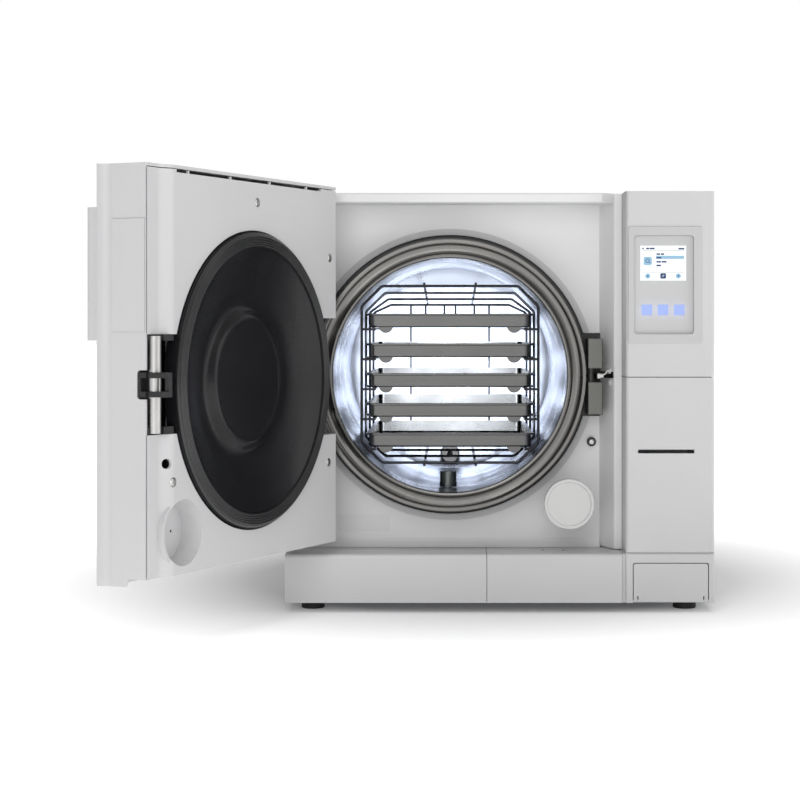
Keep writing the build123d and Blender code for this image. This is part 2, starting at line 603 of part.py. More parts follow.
def tray(bottom):
    """Instrument tray: shallow pan, turned-out lip and two stop tabs."""
    x0, x1 = CHAMBER_X - TRAY_HALF_W, CHAMBER_X + TRAY_HALF_W
    y0, y1 = TRAY_FRONT, TRAY_FRONT + TRAY_LEN
    top = bottom + TRAY_H
    pan = box(x0 + 3.5, x1 - 3.5, y0 + 2, y1 - 2, bottom, top)
    pan = fillet(pan.edges().filter_by(Axis.Z), 7)
    pan = fillet(pan.faces().sort_by(Axis.Z)[0].edges(), 2.5)
    hollow = box(x0 + 4.5, x1 - 4.5, y0 + 3, y1 - 3, bottom + TRAY_SHEET, top + 5)
    hollow = fillet(hollow.edges().filter_by(Axis.Z), 6)
    hollow = fillet(hollow.faces().sort_by(Axis.Z)[0].edges(), 1.8)
    rim = box(x0, x1, y0, y1, top - 2.4, top)
    rim = fillet(rim.edges().filter_by(Axis.Z), 9)
    rim = fillet(rim.faces().sort_by(Axis.Z)[-1].edges() + rim.faces().sort_by(Axis.Z)[0].edges(), 1.0)
    body = pan + rim - hollow
    for side in (-1, 1):
        x = CHAMBER_X + side * 70
        lower = box(x - 9, x + 9, y0, y0 + 5, bottom - 9, bottom + 0.6)
        body += rod_y(x, bottom + 2, y0 + 2.2, y0 + 3.4, 8) & lower
    return body


# ---- lock, sensors and filter -------------------------------------------------------------------
BLOCK_X = (95.0, 110.4)
BLOCK_GAP = 7.2
BOLT_Y = 29.0
BOLT_R = 2.75


def latch_backplate():
    """Black plate behind the latch blocks, slotted for the bolt's arm."""
    x0, x1 = RECEIVER_X
    plate = box(x0 + 2.2, x1 - 0.5, FASCIA_Y + 3.5, FASCIA_Y + 6.5, CHAMBER_Z - 44.5, CHAMBER_Z + 44.5)
    return plate - box(103, x1 + 1, 60, 90, CHAMBER_Z - 5.5, CHAMBER_Z + 5.5)


def latch_blocks():
    """Two steel jaws that steady the door's latch, joined by a round post."""
    x0, x1 = BLOCK_X
    upper = box(x0, x1, RING_Y, FASCIA_Y + 3.5, CHAMBER_Z + BLOCK_GAP, CHAMBER_Z + 39)
    upper = fillet(upper.faces().sort_by(Axis.Y)[0].edges(), 1.0)
    lower = box(x0, x1, RING_Y, FASCIA_Y + 3.5, CHAMBER_Z - 41.8, CHAMBER_Z - BLOCK_GAP)
    lower = fillet(lower.faces().sort_by(Axis.Y)[0].edges(), 1.0)
    post = rod_z(99.3, 52, CHAMBER_Z - BLOCK_GAP, CHAMBER_Z + BLOCK_GAP, 3.8)
    return upper + lower + post


def lock_bolt():
    """Chrome bolt with the arm that pushes it."""
    z = CHAMBER_Z - 0.6
    bolt = rod_x(104.6, 111.4, BOLT_Y, z, BOLT_R)
    bolt = chamfer(bolt.faces().sort_by(Axis.X)[-1].edges(), 0.6)
    return bolt + box(104.6, 107.6, BOLT_Y - 2.5, 86, z - 2.6, z + 2.6)


def lock_actuator():
    """Solenoid behind the fascia that drives the lock bolt."""
    body = box(92, 128, 92, 130, CHAMBER_Z - 18, CHAMBER_Z + 18)
    body = fillet(body.edges(), 2)
    body += rod_x(128, 140, 111, CHAMBER_Z, 6)
    return body + box(96, 124, 96, 100, CHAMBER_Z - 34, CHAMBER_Z + 34)


def door_switch_pin():
    """Short spring pin beside the door."""
    x, z = SWITCH_PIN
    pin = rod_y(x, z, FASCIA_Y - 9, FASCIA_Y + 18, 3.2)
    pin = fillet(pin.faces().sort_by(Axis.Y)[0].edges(), 1.4)
    return pin + rod_y(x, z, FASCIA_Y + 17, FASCIA_Y + 20, 5)


def bacteriological_filter():
    """White capped air filter on a plug-in stem."""
    x, z = FILTER
    cap = [(0, 15.6), (22.4, 15.6), (23.6, 14.0), (26.0, 14.0)]
    cap += [(26.7, 15.2), (26.7, 24.0), (24.5, 26.0), (0, 26.0)]
    body = turned(cap, x, z)
    body += turned([(0, 25), (21, 25), (19, 48), (12, 56), (0, 56)], x, z)
    return body + rod_y(x, z, 55, 96, FILTER_STEM_R)


# ---- hinge --------------------------------------------------------------------------------------
ARM_Z = (46.0, 58.0)          # distance of the hinge arms from the chamber's axis


def hinge_arm():
    """One arm in plan: straight from the frame to the round lug at the pin."""
    plan = [(HINGE_X - 6, 94), (HINGE_X + 7, 94), (HINGE_X + 7, 12), (HINGE_X + 10, 4), (HINGE_X, 0)]
    plan += [(HINGE_X - 10, 4), (HINGE_X - 6, 12)]
    arm = slab_z(plan, ARM_Z[0], ARM_Z[1]) + rod_z(HINGE_X, 0, ARM_Z[0], ARM_Z[1], 10.5)
    return arm - rod_z(HINGE_X, 0, ARM_Z[0] - 1, ARM_Z[1] + 1, HINGE_PIN_R)


def hinge_bracket():
    """Steel bracket on the frame with two arms for the door pins."""
    arm = hinge_arm()
    plate = box(HINGE_X - 18, HINGE_X + 9, 94, 100, CHAMBER_Z - 72, CHAMBER_Z + 72)
    lower = Pos(0, 0, CHAMBER_Z) * mirror(arm, Plane.XY)
    return plate + Pos(0, 0, CHAMBER_Z) * arm + lower


def hinge_pins():
    """Two steel pins pressed into the bracket's arms."""
    top = rod_z(HINGE_X, 0, CHAMBER_Z + 22, CHAMBER_Z + ARM_Z[1] + 1.5, HINGE_PIN_R)
    low = rod_z(HINGE_X, 0, CHAMBER_Z - ARM_Z[1] - 1.5, CHAMBER_Z - 22, HINGE_PIN_R)
    return [top, low]


def door_cross_arm():
    """Cast arm that carries the disc, with the hinge barrel at one end."""
    barrel = rod_z(HINGE_X, 0, CHAMBER_Z - 44, CHAMBER_Z + 44, 11.5)
    arm = box(HINGE_X, 92, -20, -8, CHAMBER_Z - 34, CHAMBER_Z + 34)
    ribs = box(HINGE_X + 8, 80, -27, -20, CHAMBER_Z - 26, CHAMBER_Z - 21)
    ribs += box(HINGE_X + 8, 80, -27, -20, CHAMBER_Z + 21, CHAMBER_Z + 26)
    hub = rod_y(CHAMBER_X, CHAMBER_Z, -20, 2, 32)
    arm = barrel + arm + ribs + hub
    return arm - rod_z(HINGE_X, 0, CHAMBER_Z - 50, CHAMBER_Z + 50, HINGE_PIN_R + RUN_FIT)


# ---- door ---------------------------------------------------------------------------------------
DISH_AT = (74.0, 112.0)
DISH_R = 31.5
DISH_DEPTH = 20.0
EDGE_RUN = 35.0               # width of the stepped-down band at the free edge
EDGE_STRIP = 17.5             # flat part of that band
EDGE_DROP = 6.0
VENT = (-183.0, 86.0)
VENT_H = 2.6
VENT_RIBS = (-153.0, -80.0, -7.0, 66.0)
SCREW_AT = ((-56.0, 420.0), (-202.0, 371.0), (-200.0, 158.0), (91.0, 159.0))
SENSOR_HOLE = (98.0, 176.0)
SMALL_HOLE = (96.0, 114.0)


def inner_outline(inset):
    """Plan outline of the inner panel, moved in by the given amount; it steps down near the free edge."""
    x0, x1 = DOOR_LEFT + inset, DOOR_RIGHT - 0.3 - inset
    y, outer = DOOR_IN_Y - inset, DOOR_OUT_Y + 12
    low = y - EDGE_DROP
    start, end = (x1 - EDGE_RUN + inset, y), (x1 - EDGE_STRIP + inset, low)
    middle = ((start[0] + end[0]) / 2, (y + low) / 2)
    crest = ThreePointArc(start, ((start[0] + middle[0]) / 2, y - EDGE_DROP * 0.13), middle)
    hollow = ThreePointArc(middle, ((end[0] + middle[0]) / 2, low + EDGE_DROP * 0.13), end)
    sides = Polyline(end, (x1 - 1, low), (x1, low - 1), (x1, outer), (x0, outer), (x0, y), start)
    return make_face(Curve() + [crest, hollow, sides])


def door_inner_panel():
    """Inner panel with openings for the disc, hinge and latch, a filter dish and a vent slit."""
    top = DOOR_TOP - CAP_T - CAP_GAP
    panel = extrude(Plane.XY.offset(DOOR_BOTTOM) * inner_outline(0), top - DOOR_BOTTOM)
    panel -= extrude(Plane.XY.offset(DOOR_BOTTOM + SKIN) * inner_outline(SKIN), top)
    panel -= box(-300, 200, DOOR_OUT_Y - 5, DOOR_OUT_Y + 13, 0, 500)
    panel -= box(DOOR_RIGHT - 4, DOOR_RIGHT + 4, -60, DOOR_IN_Y - EDGE_DROP - 0.2, 0, 500)
    panel -= rod_y(CHAMBER_X, CHAMBER_Z, -10, 40, DISC_R + 1.5)
    rim = DISC_R + 1.5
    panel += turned([(119, 8), (rim + 2.5, 8), (rim + 2.5, 23), (rim, 23), (rim, 10.3), (119, 10.3)])
    panel -= box(DOOR_LEFT - 5, HINGE_X + 22, -60, 40, CHAMBER_Z - HINGE_WINDOW, CHAMBER_Z + HINGE_WINDOW)
    panel -= box(80, DOOR_RIGHT + 5, -60, 40, CHAMBER_Z - LATCH_HALF, CHAMBER_Z + LATCH_HALF)
    x, z = DISH_AT
    cup = turned([(0, 0), (DISH_R + 2, 0), (DISH_R + 2, DOOR_IN_Y - 1), (0, DOOR_IN_Y - 1)], x, z)
    floor, mouth = DOOR_IN_Y - DISH_DEPTH, DOOR_IN_Y + 5
    pocket = turned([(0, floor), (DISH_R - 5, floor), (DISH_R, mouth), (0, mouth)], x, z)
    panel = panel + (cup & box(-200, 200, 1, 40, DOOR_BOTTOM + 1, 300)) - pocket
    slit = box(VENT[0], VENT[1], DOOR_IN_Y - 6, DOOR_IN_Y + 5, top - VENT_H, top + 1)
    for x in VENT_RIBS:
        slit -= box(x - 0.8, x + 0.8, 0, 40, top - 9, top + 5)
    panel -= slit
    for x, z in SCREW_AT:
        panel -= rod_y(x, z, 10, 40, 2.2)
        panel -= rod_y(x, z, DOOR_IN_Y - 1.0, 40, 4.6)
    panel -= rod_y(*SENSOR_HOLE, 10, 40, 4.6)
    return panel - rod_y(*SMALL_HOLE, 10, 40, 2.6)


def cover_outline(inset):
    """Plan outline of the outer cover, with the hollow sweep at its free edge."""
    y0, y1 = DOOR_OUT_Y + inset, DOOR_IN_Y - EDGE_DROP - SEAM_GAP
    x0, x1 = DOOR_COVER_LEFT + inset, DOOR_RIGHT - inset
    lip = DOOR_COVER_RIGHT - 2.2 * inset
    start = (lip, y0 + 2.0)
    end = (x1, y0 + 13.0)
    sweep_in = ThreePointArc(start, (x1 + (lip - x1) * 0.25, y0 + 5.5), end)
    rest = [end, (x1, y1), (x0 + 20, y1), (x0 + 20, y0 + 11), (x0, y0 + 11), (x0, y0), (lip, y0), start]
    return make_face(Curve() + [sweep_in, Polyline(*rest)])


def door_outer_cover():
    """Outer cover: broad flat front, hollow free edge and side wall, open towards the chamber."""
    top = DOOR_TOP
    cover = extrude(Plane.XY.offset(DOOR_COVER_BOTTOM) * cover_outline(0), top - DOOR_COVER_BOTTOM)
    hollow_z = DOOR_COVER_BOTTOM + SKIN
    cover -= extrude(Plane.XY.offset(hollow_z) * cover_outline(SKIN), top - CAP_T - hollow_z)
    inner = DOOR_IN_Y - EDGE_DROP
    cover -= box(-300, DOOR_RIGHT - SKIN, DOOR_OUT_Y + 11, inner, 0, DOOR_BOTTOM)
    cover -= box(-300, DOOR_RIGHT - SKIN, inner - 1.5, 60, 0, top - CAP_T)
    cover -= box(-300, DOOR_COVER_LEFT + 30, DOOR_OUT_Y + 10.6, 60, 0, top - CAP_T)
    wedge = [(DOOR_OUT_Y + 9, 0), (DOOR_OUT_Y + 30, DOOR_BOTTOM), (60, DOOR_BOTTOM), (60, 0)]
    cover -= slab_x(wedge, -300, 200)
    cap = extrude(Plane.XY.offset(top - CAP_T) * inner_outline(0), CAP_T)
    cover += cap
    low, high, y = CHAMBER_Z - NOTCH_HALF, CHAMBER_Z + NOTCH_HALF, DOOR_IN_Y - 16
    notch = box(DOOR_RIGHT - 5, DOOR_RIGHT + 5, y, 60, low, high)
    notch = round_edges(notch, 3.0, Axis.X, [(None, y, low), (None, y, high)])
    return cover - notch - side_cover_seat(0.0, 1.0)


NOTCH_HALF = 13.0             # half height of the notch round the latch eye
SIDE_COVER = (-18.5, 16.0, 294.5, 396.0)


def side_cover_seat(gap, proud):
    """Block at the free side where the side cover sits."""
    y0, y1, z0, z1 = SIDE_COVER
    return box(DOOR_RIGHT - 0.8, DOOR_RIGHT + proud, y0 + gap, y1 - gap, z0 + gap, z1 - gap)


def door_side_cover():
    """Thin insert in the door's free side, above the latch, a little proud of it."""
    return side_cover_seat(0.2, 0.6)


HANDLE_Z = (287.0, 407.0)


def door_handle():
    """Grip on the outer face near the free edge."""
    grip = box(58, 124, DOOR_OUT_Y - 18, DOOR_OUT_Y, *HANDLE_Z)
    grip = round_edges(grip, 8.0, Axis.Z, [(124, DOOR_OUT_Y - 18, None), (58, DOOR_OUT_Y - 18, None)])
    hollow = box(40, 106, DOOR_OUT_Y - 14, DOOR_OUT_Y + 1, HANDLE_Z[0] + 5, HANDLE_Z[1] - 5)
    return grip - fillet(hollow.edges().filter_by(Axis.Z), 4)


def door_pressure_disc():
    """Black pressed disc: deep rim, smooth sloping dish and raised middle."""
    rim = (129, 26.4)
    dish_curve = Spline((56, 17.2), (63, 16.0), (69, 11.6), (76, 10.8), (98, 15.0), (118, 21.4), rim)
    middle = Line((0, 17.2), (56, 17.2))
    back = [rim, (DISC_R, 26.4), (DISC_R, 14), (118, 12), (96, 6.5), (70, 2), (0, 2), (0, 17.2)]
    face = make_face(Curve() + [middle, dish_curve, Polyline(*back)])
    return Pos(CHAMBER_X, 0, CHAMBER_Z) * revolve(face, Axis.Y, 360)


def door_gasket():
    """Silicone gasket in the rim, with round ridges that meet the flange."""
    outline = [(129.2, 26.4), (129.2, 29.0)]
    outline += ridge_points(129.2, 5, 2.2, 29.0, 1.1)
    outline += [(141.0, 29.0), (142.6, 27.6), (142.6, 26.4)]
    return turned(outline)


def ridge_points(r0, count, pitch, y, height):
    """Rounded ridges side by side along the radius."""
    points = []
    for n in range(count):
        for step in range(1, 6):
            angle = radians(180 * step / 6)
            points.append((r0 + pitch * (n + 0.5 - 0.5 * cos(angle)), y + height * sin(angle)))
        points.append((r0 + pitch * (n + 1), y))
    return points


def door_latch_carrier():
    """Black casting in the free side: four lugs for the latch pin and an eye for the lock bolt."""
    x0, x1 = 82.0, DOOR_RIGHT - SKIN - 0.3
    carrier = box(x0, x1, -8, 4, CHAMBER_Z - LATCH_HALF + 0.4, CHAMBER_Z + LATCH_HALF - 0.4)
    for end, y in ((106, DOOR_IN_Y - 0.5), (x1, DOOR_IN_Y - EDGE_DROP - 0.5)):
        carrier += box(90, end, 3, y, CHAMBER_Z + 39.2, CHAMBER_Z + LATCH_HALF - 0.4)
        carrier += box(90, end, 3, y, CHAMBER_Z - LATCH_HALF + 0.4, CHAMBER_Z - 38.0)
    for z0, z1 in ((6.0, 11.0), (-11.0, -6.0)):
        z0, z1 = CHAMBER_Z + z0, CHAMBER_Z + z1
        carrier += box(104, x1, 3, 26, z0, z1) + box(112, x1, 20, EYE_END, z0, z1)
        carrier += box(x1 - 1, DOOR_RIGHT - 0.2, 8.6, DOOR_IN_Y - EDGE_DROP - SEAM_GAP, z0, z1)
    carrier += box(112, ARM_SIDE_X, EYE_END - 3.5, EYE_END, CHAMBER_Z - 11, CHAMBER_Z + 11)
    carrier += box(x1 - 1, DOOR_RIGHT - 0.2, 8.6, 11.5, CHAMBER_Z - 11, CHAMBER_Z + 11)
    carrier -= rod_z(*LATCH_PIN, 150, 350, LATCH_PIN_R)
    return carrier - rod_y(CHAMBER_X, CHAMBER_Z, 8, 40, DISC_R + 0.8)


def door_latch_pin():
    """Round steel pin that the lock holds."""
    return rod_z(*LATCH_PIN, CHAMBER_Z - LATCH_HALF + 1.5, CHAMBER_Z + LATCH_HALF - 1.5, LATCH_PIN_R)


def door_screws():
    """Four domed screws of the inner panel."""
    screws = []
    for x, z in SCREW_AT:
        shank = [(0, 10), (2.15, 10), (2.15, 23.0)]
        head = turned(shank + [(4.4, 23.0), (4.0, 23.9), (2.6, 24.5), (0, 24.7)], x, z)
        screws.append(head - box(x - 2.4, x + 2.4, 23.8, 26, z - 0.45, z + 0.45))
    return screws


# ---- equipment inside ---------------------------------------------------------------------------
PAPER = (48.0, 138.0)         # y and z of the roll
PAPER_R = 20.0
PLATEN = (12.0, 160.0)
PLATEN_R = 5.0
SPINDLE_R = 6.0


def printer_mechanism():
    """Frame of the printer: two cheeks, a cross plate and the paper spindle."""
    cheek = box(0, 2.5, 5, 76, 112, 182)
    frame = Pos(141, 0, 0) * cheek + Pos(205.5, 0, 0) * cheek
    frame += box(141, 208, 70, 73, 112, 182) + box(141, 208, 6, 9, 112, 150)
    frame += rod_x(142, 207, *PAPER, SPINDLE_R)
    return frame - rod_x(140, 210, *PLATEN, 2.0 + RUN_FIT)


def paper_roll():
    """Roll of printer paper on its spindle."""
    return rod_x(144, 205, *PAPER, PAPER_R) - rod_x(140, 210, *PAPER, SPINDLE_R + RUN_FIT)


def platen_roller():
    """Rubber roller that pulls the paper through the slot."""
    return rod_x(144.5, 204.5, *PLATEN, PLATEN_R) + rod_x(141.5, 207.5, *PLATEN, 2.0)


def water_tank(y0, y1):
    """Open-topped tank with thick walls."""
    tank = box(112, 208, y0, y1, 262, 430)
    tank = fillet(tank.edges().filter_by(Axis.Z), 8)
    hollow = box(115, 205, y0 + 3, y1 - 3, 265, 440)
    return tank - fillet(hollow.edges().filter_by(Axis.Z), 5)


def water_tanks():
    """Used water tank in front, clean water tank under the hatch."""
    return [water_tank(150, 290), water_tank(300, 450)]


def vacuum_pump():
    """Vacuum pump: motor barrel, finned head and feet."""
    x, z = 150.0, 70.0
    pump = rod_y(x, z, 200, 300, 34) + box(x - 36, x + 36, 140, 202, z - 38, z + 44)
    for n in range(6):
        pump += box(x - 40, x + 40, 146 + 9 * n, 149 + 9 * n, z - 38, z + 50)
    return pump + box(x - 40, x + 40, 150, 290, FOOT_H + SHEET, 40)


def valve_block():
    """Manifold with four solenoid valves and the injection pump."""
    block = box(112, 210, 330, 362, 60, 90) + box(112, 210, 330, 362, FOOT_H + SHEET, 61)
    for n in range(4):
        block += rod_z(124 + 24 * n, 346, 89, 128, 9.5)
    return block + rod_y(135, 75, 300, 332, 14) + rod_y(180, 75, 300, 332, 14)


def condenser():
    """Finned cooling block in front of the fan."""
    x, z = FAN
    block = box(x - 50, x + 50, 500, 506, z - 50, z + 50) + box(x - 50, x + 50, 520, 526, z - 50, z + 50)
    for n in range(11):
        fin = x - 50 + 9.8 * n
        block += box(fin, fin + 2, 500, 526, z - 50, z + 50)
    return block


def fan_frame():
    """Square fan frame with four spokes and the motor post."""
    x, z = FAN
    frame = box(x - 46, x + 46, 529, CABINET_BACK - SHEET, z - 46, z + 46)
    frame -= rod_y(x, z, 520, 565, FAN_R)
    for angle in (45, 135):
        spoke = box(-47, 47, 529, 531.5, -3, 3)
        frame += Pos(x, 0, z) * Rot(0, angle, 0) * spoke
    frame += rod_y(x, z, 529, 534, 16) + rod_y(x, z, 529, 548, 3)
    return frame


def fan_rotor():
    """Seven-bladed rotor."""
    x, z = FAN
    rotor = rod_y(x, z, 535, 553, 15)
    for n in range(7):
        blade = Pos(27.5, 0, 0) * Rot(35, 0, 0) * Box(29, 1.6, 20)
        rotor += Pos(x, 543.5, z) * Rot(0, 360 / 7 * n, 0) * blade
    rotor &= rod_y(x, z, 534.5, 553.5, FAN_R - 2)
    return rotor - rod_y(x, z, 530, 548.5, 3 + RUN_FIT)


def control_board():
    """Circuit board on the right wall with its main components."""
    board = box(215, 217, 120, 330, 280, 420) + box(217, 222.8, 130, 136, 290, 296)
    for y, z, h in ((140, 300, 5), (190, 310, 3.5), (240, 300, 5), (290, 380, 4), (160, 390, 3)):
        board += box(215.5 - h, 215.5, y, y + 22, z, z + 18)
    return board


ROCKER = (175.0, 116.0)       # x and z
ROCKER_TILT = 8.0


def mains_inlet():
    """Mains module on the back: appliance inlet below, rocker frame above."""
    x0, x1, z0, z1 = INLET
    y = CABINET_BACK
    body = box(x0 - 4, x1 + 4, y, y + 3, z0 - 4, z1 + 4)
    body = fillet(body.edges().filter_by(Axis.Y), 4)
    body += box(x0 + 0.5, x1 - 0.5, y - 28, y + 1, z0 + 0.5, z1 - 0.5)
    socket = box(161, 189, y - 18, y + 5, 72, 94)
    body -= round_edges(socket, 6.0, Axis.Y, [(161, None, 94), (189, None, 94)])
    for x, z in ((168, 83), (175, 87), (182, 83)):
        body += box(x - 1, x + 1, y - 19, y - 4, z - 2.5, z + 2.5)
    rx, rz = ROCKER
    body -= box(rx - 14, rx + 14, y - 14, y + 5, rz - 11, rz + 11)
    body -= rod_x(rx - 16.5, rx + 16.5, y - 4, rz, 1.5 + RUN_FIT)
    return body


def power_switch():
    """Rocker, tipped to its off side."""
    rx, rz = ROCKER
    y = CABINET_BACK - 4
    outline = [(y - 5, rz - 6), (y + 6, rz - 9.6), (y + 4, rz), (y + 6, rz + 9.6), (y - 5, rz + 6)]
    rocker = slab_x(outline, rx - 13.6, rx + 13.6)
    rocker += rod_x(rx - 16, rx + 16, y, rz, 1.5)
    return rocker.rotate(Axis((rx, y, rz), (1, 0, 0)), -ROCKER_TILT)


def water_connections():
    """Hose tails at the back, drain couplings behind the flap, the filter socket and their pipes."""
    joints = []
    for x in HOSE_X:
        tail = rod_y(x, HOSE_Z, CABINET_BACK - 30, CABINET_BACK + 20, HOSE_R)
        nut = Pos(x, CABINET_BACK, HOSE_Z) * Rot(90, 0, 0) * extrude(RegularPolygon(9.5, 6), 3, both=True)
        joints.append(tail + nut - rod_y(x, HOSE_Z, CABINET_BACK - 40, CABINET_BACK + 30, 3.5))
    for x in COUPLING_X:
        coupling = rod_y(x, COUPLING_Z, 44, 74, 6) + rod_y(x, COUPLING_Z, 50, 54, 9)
        joints.append(coupling - rod_y(x, COUPLING_Z, 40, 70, 3))
    fx, fz = FILTER
    socket = pipe_y(fx, fz, FASCIA_Y + 4, FASCIA_Y + 34, 9, FILTER_STEM_R + RUN_FIT)
    joints.append(socket + box(fx - 20, fx + 20, FASCIA_Y + 22, FASCIA_Y + 26, fz - 14, fz - 7))
    joints.append(rod_y(80, 30, 120, 500, 4))
    return joints


# ---- write every piece --------------------------------------------------------------------------
def main():
    """Make all the pieces and write them to parts/."""
    os.makedirs("parts", exist_ok=True)
    cabinet = {
        "base_tray": base_tray,
        "feet": feet,
        "plinth_service_block": plinth_service_block,
        "service_flap": service_flap,
        "fascia": fascia,
        "column_upper_cover": column_upper_cover,
        "column_lower_cover": column_lower_cover,
        "display_bezel": display_bezel,
        "display_panel": display_panel,
        "lcd_screen": lcd_screen,
        "touch_key_windows": touch_key_windows,
        "side_panels": side_panels,
        "top_cover": top_cover,
        "fill_lid": fill_lid,
        "rear_panel": rear_panel,
        "pressure_vessel": pressure_vessel,
        "chamber_flange": chamber_flange,
        "heating_bands": heating_bands,
        "insulation_jacket": insulation_jacket,
        "vessel_cradles": vessel_cradles,
        "chamber_filter": chamber_filter,
        "tray_rack": tray_rack,
        "latch_backplate": latch_backplate,
        "latch_blocks": latch_blocks,
        "lock_bolt": lock_bolt,
        "lock_actuator": lock_actuator,
        "door_switch_pin": door_switch_pin,
        "bacteriological_filter": bacteriological_filter,
        "hinge_bracket": hinge_bracket,
        "hinge_pins": hinge_pins,
        "printer_mechanism": printer_mechanism,
        "paper_roll": paper_roll,
        "platen_roller": platen_roller,
        "water_tanks": water_tanks,
        "vacuum_pump": vacuum_pump,
        "valve_block": valve_block,
        "condenser": condenser,
        "fan_frame": fan_frame,
        "fan_rotor": fan_rotor,
        "control_board": control_board,
        "mains_inlet": mains_inlet,
        "power_switch": power_switch,
        "water_connections": water_connections,
    }
    door = {
        "door_inner_panel": door_inner_panel,
        "door_outer_cover": door_outer_cover,
        "door_side_cover": door_side_cover,
        "door_handle": door_handle,
        "door_pressure_disc": door_pressure_disc,
        "door_gasket": door_gasket,
        "door_cross_arm": door_cross_arm,
        "door_latch_carrier": door_latch_carrier,
        "door_latch_pin": door_latch_pin,
        "door_screws": door_screws,
    }
    for name, make in cabinet.items():
        write(name, make())
    write("plinth_cover_left", plinth_cover(-CABINET_W / 2, SEAM_X - 0.3, True))
    write("plinth_cover_right", plinth_cover(SEAM_X + 0.3, GROOVE_X, False))
    for n, bottom in enumerate(tray_bottoms()):
        write(f"tray_{n + 1}", tray(bottom))
    for name, make in door.items():
        door_write(name, make())


main()
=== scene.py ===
"""Benchtop autoclave: finishes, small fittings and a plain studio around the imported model.

Metres, +Z up, the front faces -Y. The door stands open at rest.
"""
import json
from math import cos, pi, radians, sin

import bmesh
import bpy
from mathutils import Matrix, Vector


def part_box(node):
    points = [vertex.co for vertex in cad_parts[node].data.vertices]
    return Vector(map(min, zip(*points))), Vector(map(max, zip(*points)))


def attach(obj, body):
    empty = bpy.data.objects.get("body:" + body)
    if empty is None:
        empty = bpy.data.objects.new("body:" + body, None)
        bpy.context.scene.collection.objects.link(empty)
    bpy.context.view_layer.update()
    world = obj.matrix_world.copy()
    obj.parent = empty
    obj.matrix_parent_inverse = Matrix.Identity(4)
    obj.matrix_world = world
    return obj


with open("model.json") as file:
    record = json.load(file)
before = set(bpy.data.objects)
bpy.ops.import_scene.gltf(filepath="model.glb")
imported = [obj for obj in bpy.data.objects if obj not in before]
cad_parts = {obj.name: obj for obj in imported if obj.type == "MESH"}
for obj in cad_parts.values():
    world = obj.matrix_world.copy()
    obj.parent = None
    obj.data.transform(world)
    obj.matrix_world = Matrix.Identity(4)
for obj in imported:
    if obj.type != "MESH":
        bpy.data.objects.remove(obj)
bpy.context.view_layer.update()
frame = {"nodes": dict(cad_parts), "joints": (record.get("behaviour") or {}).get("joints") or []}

bl_info = {
    "name": "Benchtop Autoclave",
    "version": (1, 0, 0),
    "blender": (4, 5, 0),
    "location": "3D View > Sidebar > Autoclave",
    "description": "Finishes, fittings and a plain studio for the benchtop autoclave",
    "category": "Object",
}

# ---- places read from the frame -----------------------------------------------------------------
MM = 0.001
RING_LO, RING_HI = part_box("chamber_flange")
CHAMBER_X = (RING_LO.x + RING_HI.x) / 2
CHAMBER_Z = (RING_LO.z + RING_HI.z) / 2
BACK_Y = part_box("rear_panel")[1].y
CABINET_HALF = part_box("side_panels")[1].x
FAN_LO, FAN_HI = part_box("fan_frame")
FAN_X = (FAN_LO.x + FAN_HI.x) / 2
FAN_Z = (FAN_LO.z + FAN_HI.z) / 2
HINGE = next(joint for joint in frame["joints"] if joint["name"] == "door_hinge")
DOOR_TURN = (
    Matrix.Translation(HINGE["pos_m"])
    @ Matrix.Rotation(radians(HINGE["range_deg"][0]), 4, "Z")
    @ Matrix.Translation([-c for c in HINGE["pos_m"]])
)


# ---- sizes and colours a user would change ------------------------------------------------------
def colour(name, default, description):
    """A colour setting."""
    return bpy.props.FloatVectorProperty(
        name=name, description=description, subtype="COLOR", size=3, min=0.0, max=1.0, default=default
    )


def length(name, default, description):
    """A length setting, in metres."""
    return bpy.props.FloatProperty(
        name=name, description=description, default=default, min=0.0, unit="LENGTH", precision=5
    )


def amount(name, default, description):
    """A plain number setting."""
    return bpy.props.FloatProperty(name=name, description=description, default=default, min=0.0)


class AutoclaveFinishSettings(bpy.types.PropertyGroup):
    """Colours of the autoclave's finishes."""

    case_light: colour("Case", (0.565, 0.565, 0.57), "White moulding where it is clean")
    case_shade: colour("Case shade", (0.53, 0.528, 0.536), "White moulding where it has greyed")
    # the fascia's colour is painted light: set lighter than the case's so the recessed fascia looks as
    # bright as the covers
    fascia_tone_painted_lighter: colour("Fascia", (0.745, 0.745, 0.748), "Moulding round the chamber")
    panel_grey: colour("Display panel", (0.50, 0.50, 0.505), "Bezel and touch panel")
    steel: colour("Stainless steel", (0.185, 0.181, 0.174), "Turned ring at the chamber's mouth")
    chamber_steel: colour("Chamber steel", (0.62, 0.65, 0.73), "Polished inside of the chamber")
    tray_steel: colour("Tray", (0.15, 0.15, 0.148), "Satin trays")
    # the rack wire's near-black colour is a painted reflection of dark surroundings
    wire_steel: colour("Rack wire", (0.030, 0.030, 0.033), "Rack wires")
    disc_black: colour("Disc", (0.010, 0.010, 0.0115), "Coated pressure disc")
    key_glow: colour("Key light", (0.36, 0.48, 1.0), "Light behind the touch keys")
    page_blue: colour("Screen blue", (0.32, 0.58, 0.78), "Light tiles on the screen")
    page_navy: colour("Screen navy", (0.010, 0.045, 0.16), "Dark tile on the screen")


class AutoclaveFittingSettings(bpy.types.PropertyGroup):
    """Sizes of the small fittings."""

    screw_radius: length("Screw head radius", 0.0036, "Radius of the cover screws' heads")
    screw_height: length("Screw head height", 0.0018, "Height of the cover screws' heads")
    hood_depth: length("Louvre depth", 0.0026, "How far each louvre stands off the back")
    guard_wire: length("Guard wire radius", 0.0009, "Radius of the fan guard's wire")
    guard_pitch: length("Guard pitch", 0.0075, "Spacing of the fan guard's rings")
    label_thickness: length("Label thickness", 0.0003, "Thickness of the blank plates")


